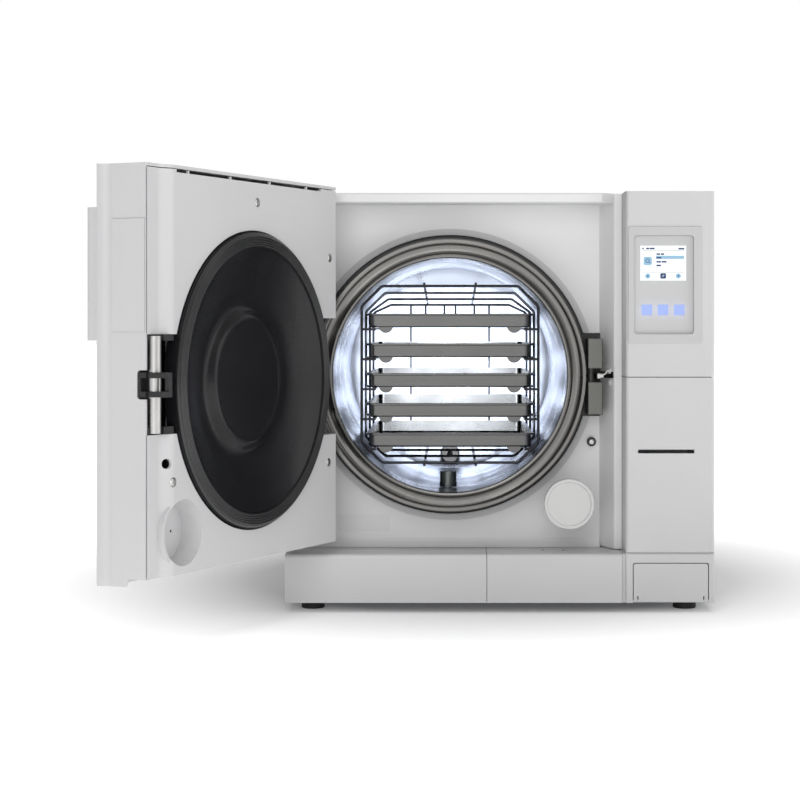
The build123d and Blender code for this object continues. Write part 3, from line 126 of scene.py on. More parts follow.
class AutoclaveStageSettings(bpy.types.PropertyGroup):
    """Floor, lights and camera."""

    floor_tone: colour("Floor", (0.90, 0.90, 0.90), "Pale studio floor")
    sky: amount("Sky", 0.37, "Strength of the even light all round")
    key_power: amount("Key light", 31.0, "Power of the large light above the camera, in watts")
    side_power: amount("Side light", 15.0, "Power of the large light at the right, in watts")
    top_power: amount("Top light", 16.0, "Power of the light overhead, in watts")
    wall_power: amount("Chamber wall light", 0.19, "Power of the light on the drum's end wall, in watts")
    gap_power: amount("Tray gap light", 1.4, "Power of the light between the trays, in watts")
    lens: amount("Lens", 84.5, "Focal length in millimetres on a 36 mm sensor")
    distance: length("Camera distance", 1.967, "From the cabinet's front face to the camera")
    height: length("Camera height", 0.299, "Height of the camera above the worktop")


# ---- shader groups ------------------------------------------------------------------------------
def node(tree, kind, inputs=None, **settings):
    """Add one node with its settings; each input is a value or the socket that feeds it."""
    made = tree.nodes.new(kind)
    for key, value in settings.items():
        setattr(made, key, value)
    for key, value in (inputs or {}).items():
        if isinstance(value, bpy.types.NodeSocket):
            tree.links.new(value, made.inputs[key])
        else:
            made.inputs[key].default_value = value
    return made


def map_range(tree, value, low, high, to_low, to_high, **settings):
    """A value through a clamped Map Range."""
    inputs = {0: value, 1: low, 2: high, 3: to_low, 4: to_high}
    return node(tree, "ShaderNodeMapRange", inputs, **settings).outputs[0]


def maths(tree, operation, a, b=0.0):
    """One Math node; each side is a socket or a number."""
    return node(tree, "ShaderNodeMath", {0: a, 1: b}, operation=operation).outputs[0]


def noise(tree, place, size, detail=3.0, roughness=0.5):
    """Noise on a place socket; size is a socket or a number."""
    inputs = {"Vector": place, "Scale": size, "Detail": detail, "Roughness": roughness}
    return node(tree, "ShaderNodeTexNoise", inputs).outputs["Fac"]


def combine(tree, **axes):
    """Vector from its X, Y and Z, each a socket or a number."""
    return node(tree, "ShaderNodeCombineXYZ", axes).outputs[0]


def split(tree, vector):
    """The X, Y and Z of a vector."""
    return node(tree, "ShaderNodeSeparateXYZ", {0: vector}).outputs


def mix_colours(tree, factor, first, second):
    """Mix of two colours, each a socket or red, green and blue."""
    inputs = {0: factor}
    for place, shade in ((6, first), (7, second)):
        inputs[place] = shade if isinstance(shade, bpy.types.NodeSocket) else (*shade, 1.0)
    return node(tree, "ShaderNodeMix", inputs, data_type="RGBA").outputs[2]


def object_place(tree):
    """Place on the piece in its own frame."""
    return node(tree, "ShaderNodeTexCoord").outputs["Object"]


def group_of(name, inputs, outputs):
    """Start a shader group with named float inputs (name: default) and float outputs (names)."""
    tree = bpy.data.node_groups.new(name, "ShaderNodeTree")
    for title, default in inputs.items():
        socket = tree.interface.new_socket(title, in_out="INPUT", socket_type="NodeSocketFloat")
        socket.default_value = default
    for title in outputs:
        tree.interface.new_socket(title, in_out="OUTPUT", socket_type="NodeSocketFloat")
    return tree, tree.nodes.new("NodeGroupInput").outputs, tree.nodes.new("NodeGroupOutput")


def end_group(tree, out, **values):
    """Join the group's outputs."""
    for title, value in values.items():
        tree.links.new(value, out.inputs[title])
    return tree


def from_axis(tree, place, given):
    """Distance from the line along Y through the group's Centre X and Centre Z."""
    dx = maths(tree, "SUBTRACT", place["X"], given["Centre X"])
    dz = maths(tree, "SUBTRACT", place["Z"], given["Centre Z"])
    square = maths(tree, "ADD", maths(tree, "MULTIPLY", dx, dx), maths(tree, "MULTIPLY", dz, dz))
    return maths(tree, "SQRT", square)


def surface_group():
    """Moulded or painted skin: fine grain, slow drift of tone, and dust on what faces up."""
    inputs = {"Grain scale": 1400.0, "Drift scale": 5.0, "Dust": 0.3}
    tree, given, out = group_of("skin_grain_and_dust", inputs, ("Grain", "Drift", "Dust"))
    place = object_place(tree)
    grain = noise(tree, place, given["Grain scale"], 2.0)
    drift = map_range(tree, noise(tree, place, given["Drift scale"], 4.0), 0.35, 0.68, 0.0, 1.0)
    facing = split(tree, node(tree, "ShaderNodeNewGeometry").outputs["Normal"])
    upward = map_range(tree, facing["Z"], 0.6, 1.0, 0.0, 1.0)
    specks = map_range(tree, noise(tree, place, 90.0, 6.0, 0.7), 0.45, 0.75, 0.0, 1.0)
    dust = maths(tree, "MULTIPLY", maths(tree, "MULTIPLY", upward, specks), given["Dust"])
    return end_group(tree, out, Grain=grain, Drift=drift, Dust=dust)


def turned_group():
    """Lathe lines round an axis along Y, and the smudges of handling."""
    inputs = {"Centre X": 0.0, "Centre Z": 0.0, "Line scale": 900.0}
    tree, given, out = group_of("turned_lines", inputs, ("Lines", "Smudge"))
    place = object_place(tree)
    axes = split(tree, place)
    both = combine(tree, X=from_axis(tree, axes, given), Y=axes["Y"])
    lines = noise(tree, both, given["Line scale"], 2.0, 0.6)
    smudge = map_range(tree, noise(tree, place, 16.0, 4.0, 0.6), 0.4, 0.7, 0.0, 1.0)
    return end_group(tree, out, Lines=lines, Smudge=smudge)


def brushed_group():
    """Brushed lines along one direction, from the stretch of each axis, and smudges."""
    inputs = {"Across X": 1.0, "Across Y": 1.0, "Across Z": 1.0, "Line scale": 700.0}
    tree, given, out = group_of("brushed_lines", inputs, ("Lines", "Smudge"))
    place = object_place(tree)
    stretch = combine(tree, **{axis: given[f"Across {axis}"] for axis in "XYZ"})
    stretched = node(tree, "ShaderNodeVectorMath", {0: place, 1: stretch}, operation="MULTIPLY")
    lines = noise(tree, stretched.outputs[0], given["Line scale"], 3.0, 0.6)
    smudge = map_range(tree, noise(tree, place, 22.0, 2.0, 0.5), 0.30, 0.75, 0.0, 1.0)
    return end_group(tree, out, Lines=lines, Smudge=smudge)


def scuff_group():
    """Fine scuffs and rubbed places on dark coatings and castings."""
    tree, given, out = group_of("scuffs", {"Scuff scale": 60.0, "Amount": 0.5}, ("Scuff", "Grain"))
    place = object_place(tree)
    patches = noise(tree, place, given["Scuff scale"], 6.0, 0.7)
    broad = map_range(tree, patches, 0.55, 0.75, 0.0, 1.0)
    scuff = maths(tree, "MULTIPLY", broad, given["Amount"])
    return end_group(tree, out, Scuff=scuff, Grain=noise(tree, place, 1100.0, 2.0))


def spot_group():
    """Round soft spot of light on a face that looks along Y."""
    inputs = {"Centre X": 0.0, "Centre Z": 0.0, "Radius": 0.01}
    tree, given, out = group_of("soft_spot", inputs, ("Spot",))
    away = from_axis(tree, split(tree, object_place(tree)), given)
    reach = maths(tree, "DIVIDE", away, given["Radius"])
    spot = map_range(tree, reach, 0.25, 1.0, 1.0, 0.0, interpolation_type="SMOOTHSTEP")
    return end_group(tree, out, Spot=spot)


GROUPS = {
    "skin": surface_group,
    "turned": turned_group,
    "brushed": brushed_group,
    "scuffs": scuff_group,
    "spot": spot_group,
}
_trees = {}


def use_group(tree, name, **values):
    """Place a shared group in a material with its own values, and give back its outputs."""
    if name not in _trees:
        _trees[name] = GROUPS[name]()
    made = node(tree, "ShaderNodeGroup", node_tree=_trees[name])
    for key, value in values.items():
        made.inputs[key.replace("_", " ")].default_value = value
    return made.outputs


# ---- material parts -----------------------------------------------------------------------------
def new_material(name, **constants):
    """Material with a Principled shader; constants go straight on its sockets."""
    paint = bpy.data.materials.new(name)
    paint.use_nodes = True
    shader = paint.node_tree.nodes["Principled BSDF"]
    for key, value in constants.items():
        shader.inputs[key.replace("_", " ")].default_value = value
    return paint, paint.node_tree, shader


def tint(tree, shader, mask, first, second, over=None):
    """Base colour that goes from first to second with a mask, then towards a third."""
    result = mix_colours(tree, mask, first, second)
    if over:
        result = mix_colours(tree, over[0], result, over[1])
    tree.links.new(result, shader.inputs["Base Color"])


def relief(tree, shader, height, strength, distance):
    """Bump from a height."""
    inputs = {"Strength": strength, "Distance": distance, "Height": height}
    tree.links.new(node(tree, "ShaderNodeBump", inputs).outputs[0], shader.inputs["Normal"])


def roughen(tree, shader, mask, low, high):
    """Roughness between two values."""
    tree.links.new(map_range(tree, mask, 0.0, 1.0, low, high), shader.inputs["Roughness"])


DUST = (0.62, 0.60, 0.57)


def skin(name, light, shade, rough, grain=1400.0, relief_by=0.00004, dust=0.25, **constants):
    """Moulded or painted surface."""
    paint, tree, shader = new_material(name, **constants)
    surface = use_group(tree, "skin", Grain_scale=grain, Dust=dust)
    tint(tree, shader, surface["Drift"], light, shade, (surface["Dust"], DUST))
    roughen(tree, shader, surface["Drift"], rough - 0.03, rough + 0.06)
    relief(tree, shader, surface["Grain"], 0.35, relief_by)
    return paint


def metal(
    name, light, shade, rough, turned=None, across=(1, 1, 1), lines=800.0, depth=0.00002, metallic=1.0
):
    """Bare metal with lathe lines or brushed lines."""
    paint, tree, shader = new_material(name, Metallic=metallic)
    if turned:
        worked = use_group(tree, "turned", Centre_X=turned[0], Centre_Z=turned[1], Line_scale=lines)
    else:
        x, y, z = across
        worked = use_group(tree, "brushed", Across_X=x, Across_Y=y, Across_Z=z, Line_scale=lines)
    smudge = map_range(tree, worked["Smudge"], 0.0, 1.0, 0.0, 0.25)
    tint(tree, shader, worked["Lines"], shade, light, (smudge, shade))
    roughen(tree, shader, worked["Smudge"], rough - 0.04, rough + 0.09)
    relief(tree, shader, worked["Lines"], 0.4, depth)
    return paint


def dark_coat(name, base, worn, rough, amount_worn=0.5, scale=60.0, depth=0.00003, **constants):
    """Dark coating, casting or rubber with rubbed places."""
    paint, tree, shader = new_material(name, **constants)
    rubbed = use_group(tree, "scuffs", Scuff_scale=scale, Amount=amount_worn)
    tint(tree, shader, rubbed["Scuff"], base, worn)
    roughen(tree, shader, rubbed["Scuff"], rough, rough + 0.12)
    relief(tree, shader, rubbed["Grain"], 0.5, depth)
    return paint


def glowing(name, base, light, strength):
    """Lit surface with a faint unevenness in its light."""
    paint, tree, shader = new_material(name, Roughness=0.35, Emission_Strength=strength)
    mask = map_range(tree, noise(tree, object_place(tree), 140.0), 0.3, 0.7, 0.0, 1.0)
    tint(tree, shader, mask, base, base)
    glow = mix_colours(tree, mask, light, [c * 0.94 for c in light])
    tree.links.new(glow, shader.inputs["Emission Color"])
    return paint


# ---- the autoclave's finishes -------------------------------------------------------------------
def finishes():
    """The user's colours."""
    return bpy.context.scene.autoclave_finishes


def scaled(shade, by):
    """A colour made darker or lighter."""
    return tuple(min(1.0, c * by) for c in shade)


def white_moulding():
    """Satin white moulding of the covers and the door."""
    f = finishes()
    return skin("white_moulding", tuple(f.case_light), tuple(f.case_shade), 0.36)


def fascia_moulding():
    """Moulding round the chamber, its colour set well lighter than the case's as painted light for the
    recess, which gets less light.
    """
    grey = tuple(finishes().fascia_tone_painted_lighter)
    return skin("fascia_moulding", grey, scaled(grey, 0.94), 0.42)


def white_sheet():
    """Powder-coated sheet with a faint orange peel."""
    f = finishes()
    return skin("white_sheet", tuple(f.case_light), tuple(f.case_shade), 0.46, 420.0, 0.00012, 0.4)


def panel_grey():
    """Bezel of the display."""
    grey = tuple(finishes().panel_grey)
    return skin("panel_grey", grey, scaled(grey, 0.95), 0.38, 1800.0)


KEY_COUNT = 3
KEY_FIRST = 0.123  # middle of the first key, as a fraction of the row's width
KEY_PITCH = 0.377


def touch_panel():
    """Touch panel with the keys' light spilling round them."""
    f = finishes()
    grey = tuple(f.panel_grey)
    paint = skin("touch_panel", scaled(grey, 1.03), grey, 0.34, 1800.0, Emission_Strength=0.25)
    tree = paint.node_tree
    lo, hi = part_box("touch_key_windows")
    total = 0.0
    for n in range(KEY_COUNT):
        x = lo.x + (hi.x - lo.x) * (KEY_FIRST + KEY_PITCH * n)
        spot = use_group(tree, "spot", Centre_X=x, Centre_Z=(lo.z + hi.z) / 2, Radius=0.015)
        total = maths(tree, "ADD", total, spot["Spot"])
    spill = maths(tree, "MINIMUM", maths(tree, "MULTIPLY", total, 0.4), 1.0)
    glow = mix_colours(tree, spill, (0.0, 0.0, 0.0), tuple(f.key_glow))
    tree.links.new(glow, tree.nodes["Principled BSDF"].inputs["Emission Color"])
    return paint


def key_window():
    """Backlit key window."""
    f = finishes()
    return glowing("key_window", (0.10, 0.12, 0.30), tuple(f.key_glow), 0.78)


def screen_white():
    """Lit screen."""
    return glowing("screen_white", (0.08, 0.08, 0.08), (0.95, 0.99, 1.0), 1.0)


def page_light_blue():
    """Light tile on the screen."""
    return glowing("page_light_blue", (0.03, 0.04, 0.05), tuple(finishes().page_blue), 0.9)


def page_navy():
    """Dark tile on the screen."""
    return glowing("page_navy", (0.004, 0.008, 0.02), tuple(finishes().page_navy), 0.9)


def page_grey():
    """Thin rules on the screen."""
    return glowing("page_grey", (0.05, 0.05, 0.05), (0.42, 0.44, 0.44), 0.9)


def stainless():
    """Turned stainless ring."""
    steel = tuple(finishes().steel)
    return metal("stainless", steel, scaled(steel, 0.82), 0.30, turned=(CHAMBER_X, CHAMBER_Z), lines=700.0)


def chamber_steel():
    """Polished drum, with soft lathe lines."""
    steel = tuple(finishes().chamber_steel)
    shade = scaled(steel, 0.93)
    return metal("chamber_steel", steel, shade, 0.30, turned=(CHAMBER_X, CHAMBER_Z), lines=160.0)


def tray_steel():
    """Satin tray sheet, brushed from side to side."""
    steel = tuple(finishes().tray_steel)
    return metal("tray_steel", steel, scaled(steel, 0.8), 0.26, across=(0.04, 1.0, 1.0))


def wire_steel():
    """Drawn wire of the rack, coloured near black as a painted reflection of dark surroundings."""
    steel = tuple(finishes().wire_steel)
    return metal("wire_steel", scaled(steel, 1.5), steel, 0.24, across=(1.0, 0.1, 1.0), metallic=0.9)


def chrome():
    """Plated bolt, pin and lever."""
    light, shade = (0.50, 0.495, 0.48), (0.36, 0.355, 0.345)
    return metal("chrome", light, shade, 0.18, across=(1.0, 1.0, 0.1), depth=0.00001)


def filter_steel():
    """Dark, steam-stained drain filter."""
    return metal("filter_steel", (0.20, 0.215, 0.20), (0.10, 0.11, 0.105), 0.34, across=(1.0, 1.0, 0.1))


def ground_steel():
    """Ground steel pins and screws."""
    return metal("ground_steel", (0.58, 0.57, 0.56), (0.42, 0.42, 0.41), 0.27, across=(1.0, 1.0, 0.05))


def grey_metal():
    """Sintered steel jaws, bead blasted."""
    light, shade = (0.155, 0.155, 0.145), (0.125, 0.125, 0.118)
    return metal("grey_metal", light, shade, 0.45, lines=1500.0, metallic=0.7)


def zinc_sheet():
    """Zinc-plated sheet."""
    return metal("zinc_sheet", (0.60, 0.61, 0.63), (0.46, 0.47, 0.50), 0.38, lines=60.0)


def aluminium():
    """Mill-finish fins."""
    return metal("aluminium", (0.78, 0.78, 0.79), (0.64, 0.64, 0.66), 0.33, across=(1.0, 1.0, 0.05))


def brass_fittings():
    """Dull nickel-plated brass."""
    return metal("brass_fittings", (0.62, 0.55, 0.40), (0.48, 0.41, 0.28), 0.32, lines=500.0)


def cast_metal():
    """Rough cast aluminium."""
    return metal("cast_metal", (0.33, 0.33, 0.34), (0.24, 0.24, 0.25), 0.55, lines=350.0, depth=0.0002)


def black_coating():
    """Satin non-stick coating of the disc."""
    black = tuple(finishes().disc_black)
    return dark_coat("black_coating", black, scaled(black, 1.6), 0.22, 0.5, 24.0, Specular_IOR_Level=0.28)


def black_casting():
    """Black painted castings."""
    return dark_coat("black_casting", (0.012, 0.012, 0.013), (0.05, 0.05, 0.05), 0.38, 0.6)


def rubber():
    """Feet."""
    return dark_coat("rubber", (0.012, 0.012, 0.012), (0.035, 0.034, 0.032), 0.62, 0.6, 80.0, 0.00006)


def gasket_rubber():
    """Silicone door gasket, near black."""
    base, worn = (0.014, 0.014, 0.015), (0.03, 0.03, 0.03)
    return dark_coat("gasket_rubber", base, worn, 0.36, 0.4, 50.0, Coat_Weight=0.2)


def roller_rubber():
    """Paper roller."""
    return dark_coat("roller_rubber", (0.03, 0.03, 0.032), (0.06, 0.06, 0.06), 0.6)


def black_plastic():
    """Fan, inlet and rocker."""
    return dark_coat("black_plastic", (0.016, 0.016, 0.017), (0.05, 0.05, 0.05), 0.42, 0.4, 50.0)


def heater():
    """Silicone heater mat."""
    return skin("heater", (0.42, 0.09, 0.04), (0.35, 0.07, 0.03), 0.55, 600.0, 0.0002)


def mineral_wool():
    """Mineral wool under foil scrim."""
    return skin("mineral_wool", (0.60, 0.58, 0.52), (0.48, 0.46, 0.40), 0.9, 260.0, 0.0015)


def filter_white():
    """White filter cap."""
    return skin("filter_white", (0.60, 0.60, 0.595), (0.56, 0.56, 0.555), 0.42, 1600.0)


def paper():
    """Printer paper."""
    return skin("paper", (0.82, 0.81, 0.78), (0.78, 0.77, 0.73), 0.8, 900.0)


def tank_plastic():
    """Milky water tanks."""
    return skin("tank_plastic", (0.62, 0.66, 0.68), (0.55, 0.60, 0.62), 0.35, 700.0)


def board_green():
    """Solder mask of the circuit board."""
    return skin("board_green", (0.02, 0.16, 0.06), (0.015, 0.12, 0.05), 0.32, 300.0, 0.0001)


def dark_bush_and_gap_shade():
    """Dark plastic of the bushes and the plug; also painted shade for gaps, such as vent gaps and the gap
    round the chamber's ring.
    """
    return dark_coat("dark_bush_and_gap_shade", (0.03, 0.03, 0.032), (0.06, 0.06, 0.06), 0.45)


def label_grey():
    """Blank label."""
    return skin("label_grey", (0.70, 0.70, 0.70), (0.66, 0.66, 0.66), 0.30, 2500.0, 0.00002)


_materials = {}


def material(make):
    """The material a function makes, made once."""
    if make not in _materials:
        _materials[make] = make()
    return _materials[make]


# ---- mesh helpers -------------------------------------------------------------------------------
def box_between(bm, low, high, rounded=0.0, steps=2):
    """Block between two corners with its edges rounded."""
    low, high = Vector(low), Vector(high)
    place = Matrix.Translation((low + high) / 2) @ Matrix.Diagonal((*(high - low), 1.0))
    made = bmesh.ops.create_cube(bm, size=1.0, matrix=place)
    if rounded:
        edges = {edge for vert in made["verts"] for edge in vert.link_edges}
        bmesh.ops.bevel(bm, geom=list(edges), offset=rounded, segments=steps, profile=0.5, affect="EDGES")


def prism_y(bm, outline, y0, y1, index=0):
    """Plate between two depths; its (x, z) outline runs anticlockwise seen from the front."""
    front = [bm.verts.new((x, y0, z)) for x, z in outline]
    back = [bm.verts.new((x, y1, z)) for x, z in outline]
    faces = [bm.faces.new(front), bm.faces.new(back[::-1])]
    for n, vert in enumerate(front):
        after = (n + 1) % len(front)
        faces.append(bm.faces.new((vert, back[n], back[after], front[after])))
    for face in faces:
        face.material_index = index


def rounded_outline(x0, x1, z0, z1, radius, steps=5):
    """Rectangle with round corners as (x, z) points."""
    points = []
    corners = ((x1 - radius, z0 + radius, -90), (x1 - radius, z1 - radius, 0),
               (x0 + radius, z1 - radius, 90), (x0 + radius, z0 + radius, 180))
    for cx, cz, start in corners:
        for n in range(steps + 1):
            angle = radians(start + 90 * n / steps)
            points.append((cx + radius * cos(angle), cz + radius * sin(angle)))
    return points


def round_outline(x, z, radius, steps=20):
    """Circle as (x, z) points."""
    angles = [2 * pi * n / steps for n in range(steps)]
    return [(x + radius * cos(angle), z + radius * sin(angle)) for angle in angles]


def turned_y(bm, profile, x, z, steps=48):
    """Closed profile of (radius, y) points turned about a line along Y."""
    rings = []
    for n in range(steps):
        angle = 2 * pi * n / steps
        rings.append([bm.verts.new((x + r * cos(angle), y, z + r * sin(angle))) for r, y in profile])
    count = len(profile)
    for n, here in enumerate(rings):
        after = rings[(n + 1) % steps]
        for k in range(count):
            beyond = (k + 1) % count
            bm.faces.new((here[k], here[beyond], after[beyond], after[k]))


def piece(name, bm, body, makes, smooth=35):
    """Turn a bmesh into a named piece that rides on a body."""
    bmesh.ops.remove_doubles(bm, verts=bm.verts, dist=1e-7)
    bmesh.ops.recalc_face_normals(bm, faces=bm.faces)
    mesh = bpy.data.meshes.new(name)
    bm.to_mesh(mesh)
    bm.free()
    return placed(name, mesh, body, makes, smooth)


def placed(name, mesh, body, makes, smooth=35):
    """Make the object for a finished mesh and let it ride on its body."""
    for face in mesh.polygons:
        face.use_smooth = True
    mesh.set_sharp_from_angle(angle=radians(smooth))
    while mesh.materials:
        mesh.materials.pop()
    for make in makes:
        mesh.materials.append(material(make))
    made = bpy.data.objects.new(name, mesh)
    bpy.context.scene.collection.objects.link(made)
    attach(made, body)
    return made


def dress(make, *nodes):
    """Give carried-over nodes one finish."""
    for name in nodes:
        for slot in frame["nodes"][name].material_slots:
            slot.material = material(make)


# ---- geometry nodes -----------------------------------------------------------------------------
def new_tree(name, inputs):
    """Geometry tree with named inputs (name: (socket type, default))."""
    tree = bpy.data.node_groups.new(name, "GeometryNodeTree")
    tree.interface.new_socket("Geometry", in_out="INPUT", socket_type="NodeSocketGeometry")
    for title, (kind, default) in inputs.items():
        socket = tree.interface.new_socket(title, in_out="INPUT", socket_type=kind)
        if default is not None:
            socket.default_value = default
    tree.interface.new_socket("Geometry", in_out="OUTPUT", socket_type="NodeSocketGeometry")
    return tree, tree.nodes.new("NodeGroupInput").outputs, tree.nodes.new("NodeGroupOutput")


def end_tree(tree, given, out, geometry):
    """Realize the instances, set the material and join the output."""
    real = node(tree, "GeometryNodeRealizeInstances", {0: geometry})
    inputs = {"Geometry": real.outputs[0], "Material": given["Material"]}
    paint = node(tree, "GeometryNodeSetMaterial", inputs)
    tree.links.new(paint.outputs[0], out.inputs[0])
    return tree


def on_points(tree, points, instance, **more):
    """One instance on each point."""
    inputs = {"Points": points, "Instance": instance, **more}
    return node(tree, "GeometryNodeInstanceOnPoints", inputs).outputs[0]


def joined(tree, *parts):
    """Several geometries as one."""
    made = node(tree, "GeometryNodeJoinGeometry")
    for part in parts:
        tree.links.new(part, made.inputs[0])
    return made.outputs[0]


def screw_tree():
    """A domed, cross-slotted screw head on each point, standing along the point's facing."""
    tree, given, out = new_tree("screw_heads", {
        "Head radius": ("NodeSocketFloat", 0.0036),
        "Head height": ("NodeSocketFloat", 0.0018),
        "Material": ("NodeSocketMaterial", None),
    })
    radius, height = given["Head radius"], given["Head height"]
    cone = node(tree, "GeometryNodeMeshCone", {
        "Vertices": 20, "Side Segments": 1, "Radius Bottom": radius, "Depth": height,
        "Radius Top": maths(tree, "MULTIPLY", radius, 0.72),
    })
    long_side = maths(tree, "MULTIPLY", radius, 1.1)
    short_side = maths(tree, "MULTIPLY", radius, 0.24)
    deep = maths(tree, "MULTIPLY", height, 1.1)
    cutters = []
    for across, along in ((long_side, short_side), (short_side, long_side)):
        cube = node(tree, "GeometryNodeMeshCube", {"Size": combine(tree, X=across, Y=along, Z=deep)})
        raised = {0: cube.outputs[0], "Translation": combine(tree, Z=height)}
        cutters.append(node(tree, "GeometryNodeTransform", raised).outputs[0])
    meshes = {"Mesh 1": cone.outputs[0], "Mesh 2": joined(tree, *cutters)}
    head = node(tree, "GeometryNodeMeshBoolean", meshes, operation="DIFFERENCE")
    facing = node(tree, "GeometryNodeInputNamedAttribute", {"Name": "facing"}, data_type="FLOAT_VECTOR")
    turn = node(tree, "FunctionNodeAlignRotationToVector", {"Vector": facing.outputs[0]}, axis="Z")
    heads = on_points(tree, given["Geometry"], head.outputs[0], Rotation=turn.outputs[0])
    return end_tree(tree, given, out, heads)


def hood_tree():
    """A half-round louvre hood over each point, long along X."""
    tree, given, out = new_tree("louvre_hoods", {
        "Length": ("NodeSocketFloat", 0.06),
        "Height": ("NodeSocketFloat", 0.005),
        "Depth": ("NodeSocketFloat", 0.0026),
        "Material": ("NodeSocketMaterial", None),
    })
    bar = node(tree, "GeometryNodeMeshCylinder", {"Vertices": 16, "Radius": 1.0, "Depth": 1.0})
    size = combine(tree, X=given["Height"], Y=given["Depth"], Z=given["Length"])
    upright = node(tree, "GeometryNodeTransform", {0: bar.outputs[0], "Scale": size})
    lying = node(tree, "GeometryNodeTransform", {0: upright.outputs[0], "Rotation": (0.0, pi / 2, 0.0)})
    return end_tree(tree, given, out, on_points(tree, given["Geometry"], lying.outputs[0]))


def guard_tree():
    """Concentric wire rings and radial wires round the input's one point, in the plane of the back."""
    tree, given, out = new_tree("finger_guard", {
        "Rings": ("NodeSocketInt", 5),
        "Pitch": ("NodeSocketFloat", 0.0075),
        "Inner radius": ("NodeSocketFloat", 0.012),
        "Wire radius": ("NodeSocketFloat", 0.0009),
        "Material": ("NodeSocketMaterial", None),
    })
    index = node(tree, "GeometryNodeInputIndex").outputs[0]
    inner = given["Inner radius"]
    radius = maths(tree, "ADD", maths(tree, "MULTIPLY", index, given["Pitch"]), inner)
    rings = node(tree, "GeometryNodePoints", {"Count": given["Rings"]})
    circle = node(tree, "GeometryNodeCurvePrimitiveCircle", {"Resolution": 64, "Radius": 1.0})
    size = combine(tree, X=radius, Y=radius, Z=1.0)
    loops = on_points(tree, rings.outputs[0], circle.outputs[0], Scale=size)
    spokes = node(tree, "GeometryNodePoints", {"Count": 4})
    quarter = maths(tree, "ADD", maths(tree, "MULTIPLY", index, pi / 2), pi / 4)
    outer = maths(tree, "ADD", maths(tree, "MULTIPLY", given["Pitch"], given["Rings"]), inner)
    ends = {"Start": combine(tree, X=inner), "End": combine(tree, X=outer)}
    line = node(tree, "GeometryNodeCurvePrimitiveLine", ends)
    arms = on_points(tree, spokes.outputs[0], line.outputs[0], Rotation=combine(tree, Z=quarter))
    real = node(tree, "GeometryNodeRealizeInstances", {0: joined(tree, loops, arms)})
    section = {"Resolution": 8, "Radius": given["Wire radius"]}
    section = node(tree, "GeometryNodeCurvePrimitiveCircle", section)
    drawn = {"Curve": real.outputs[0], "Profile Curve": section.outputs[0], "Fill Caps": True}
    wire = node(tree, "GeometryNodeCurveToMesh", drawn)
    stood = node(tree, "GeometryNodeTransform", {0: wire.outputs[0], "Rotation": (pi / 2, 0.0, 0.0)})
    return end_tree(tree, given, out, on_points(tree, given["Geometry"], stood.outputs[0]))


def grown(name, make_tree, places, body, make, values, facing=None):
    """Run a geometry tree on points and keep its result as a plain mesh piece."""
    seed = bpy.data.meshes.new(name + "_points")
    seed.from_pydata([tuple(p) for p in places], [], [])
    if facing:
        store = seed.attributes.new("facing", "FLOAT_VECTOR", "POINT")
        for n, way in enumerate(facing):
            store.data[n].vector = way
    holder = bpy.data.objects.new(name + "_points", seed)
    bpy.context.scene.collection.objects.link(holder)
    modifier = holder.modifiers.new("grow", "NODES")
    if make_tree not in _trees:
        _trees[make_tree] = make_tree()
    tree = _trees[make_tree]
    sockets = {s.name: s.identifier for s in tree.interface.items_tree if s.in_out == "INPUT"}
    modifier.node_group = tree
    modifier[sockets["Material"]] = material(make)
    for title, value in values.items():
        modifier[sockets[title]] = value
    depsgraph = bpy.context.evaluated_depsgraph_get()
    mesh = bpy.data.meshes.new_from_object(holder.evaluated_get(depsgraph), depsgraph=depsgraph)
    mesh.name = name
    bpy.data.objects.remove(holder)
    return placed(name, mesh, body, [make])


# ---- operators: finishes ------------------------------------------------------------------------
class AUTOCLAVE_OT_case_finish(bpy.types.Operator):
    """Paint the covers, panels, feet and service parts"""

    bl_idname = "autoclave.case_finish"
    bl_label = "Case finish"

    def execute(self, context):
        dress(white_moulding, "plinth_cover_left", "plinth_cover_right", "plinth_service_block")
        dress(white_moulding, "service_flap", "column_upper_cover", "column_lower_cover")
        dress(fascia_moulding, "fascia")
        dress(white_sheet, "side_panels", "top_cover", "rear_panel", "fill_lid")
        dress(panel_grey, "display_bezel")
        dress(touch_panel, "display_panel")
        dress(screen_white, "lcd_screen")
        dress(key_window, "touch_key_windows")
        dress(rubber, "feet")
        dress(filter_white, "bacteriological_filter")
        dress(black_plastic, "mains_inlet", "power_switch", "fan_frame", "fan_rotor")
        dress(zinc_sheet, "base_tray", "vessel_cradles", "printer_mechanism")
        dress(brass_fittings, "water_connections", "valve_block")
        dress(cast_metal, "vacuum_pump")
        dress(aluminium, "condenser")
        dress(tank_plastic, "water_tanks")
        dress(board_green, "control_board")
        dress(paper, "paper_roll")
        dress(roller_rubber, "platen_roller")
        return {"FINISHED"}


class AUTOCLAVE_OT_chamber_finish(bpy.types.Operator):
    """Finish the drum, its ring, the rack, the trays and the lock"""

    bl_idname = "autoclave.chamber_finish"
    bl_label = "Chamber finish"

    def execute(self, context):
        dress(chamber_steel, "pressure_vessel")
        dress(stainless, "chamber_flange")
        dress(wire_steel, "tray_rack")
        dress(tray_steel, *[f"tray_{n}" for n in range(1, 6)])
        dress(chrome, "lock_bolt", "door_switch_pin")
        dress(filter_steel, "chamber_filter")
        dress(grey_metal, "latch_blocks")
        dress(black_casting, "latch_backplate", "lock_actuator")
        dress(heater, "heating_bands")
        dress(mineral_wool, "insulation_jacket")
        dress(zinc_sheet, "hinge_bracket")
        dress(ground_steel, "hinge_pins")
        return {"FINISHED"}


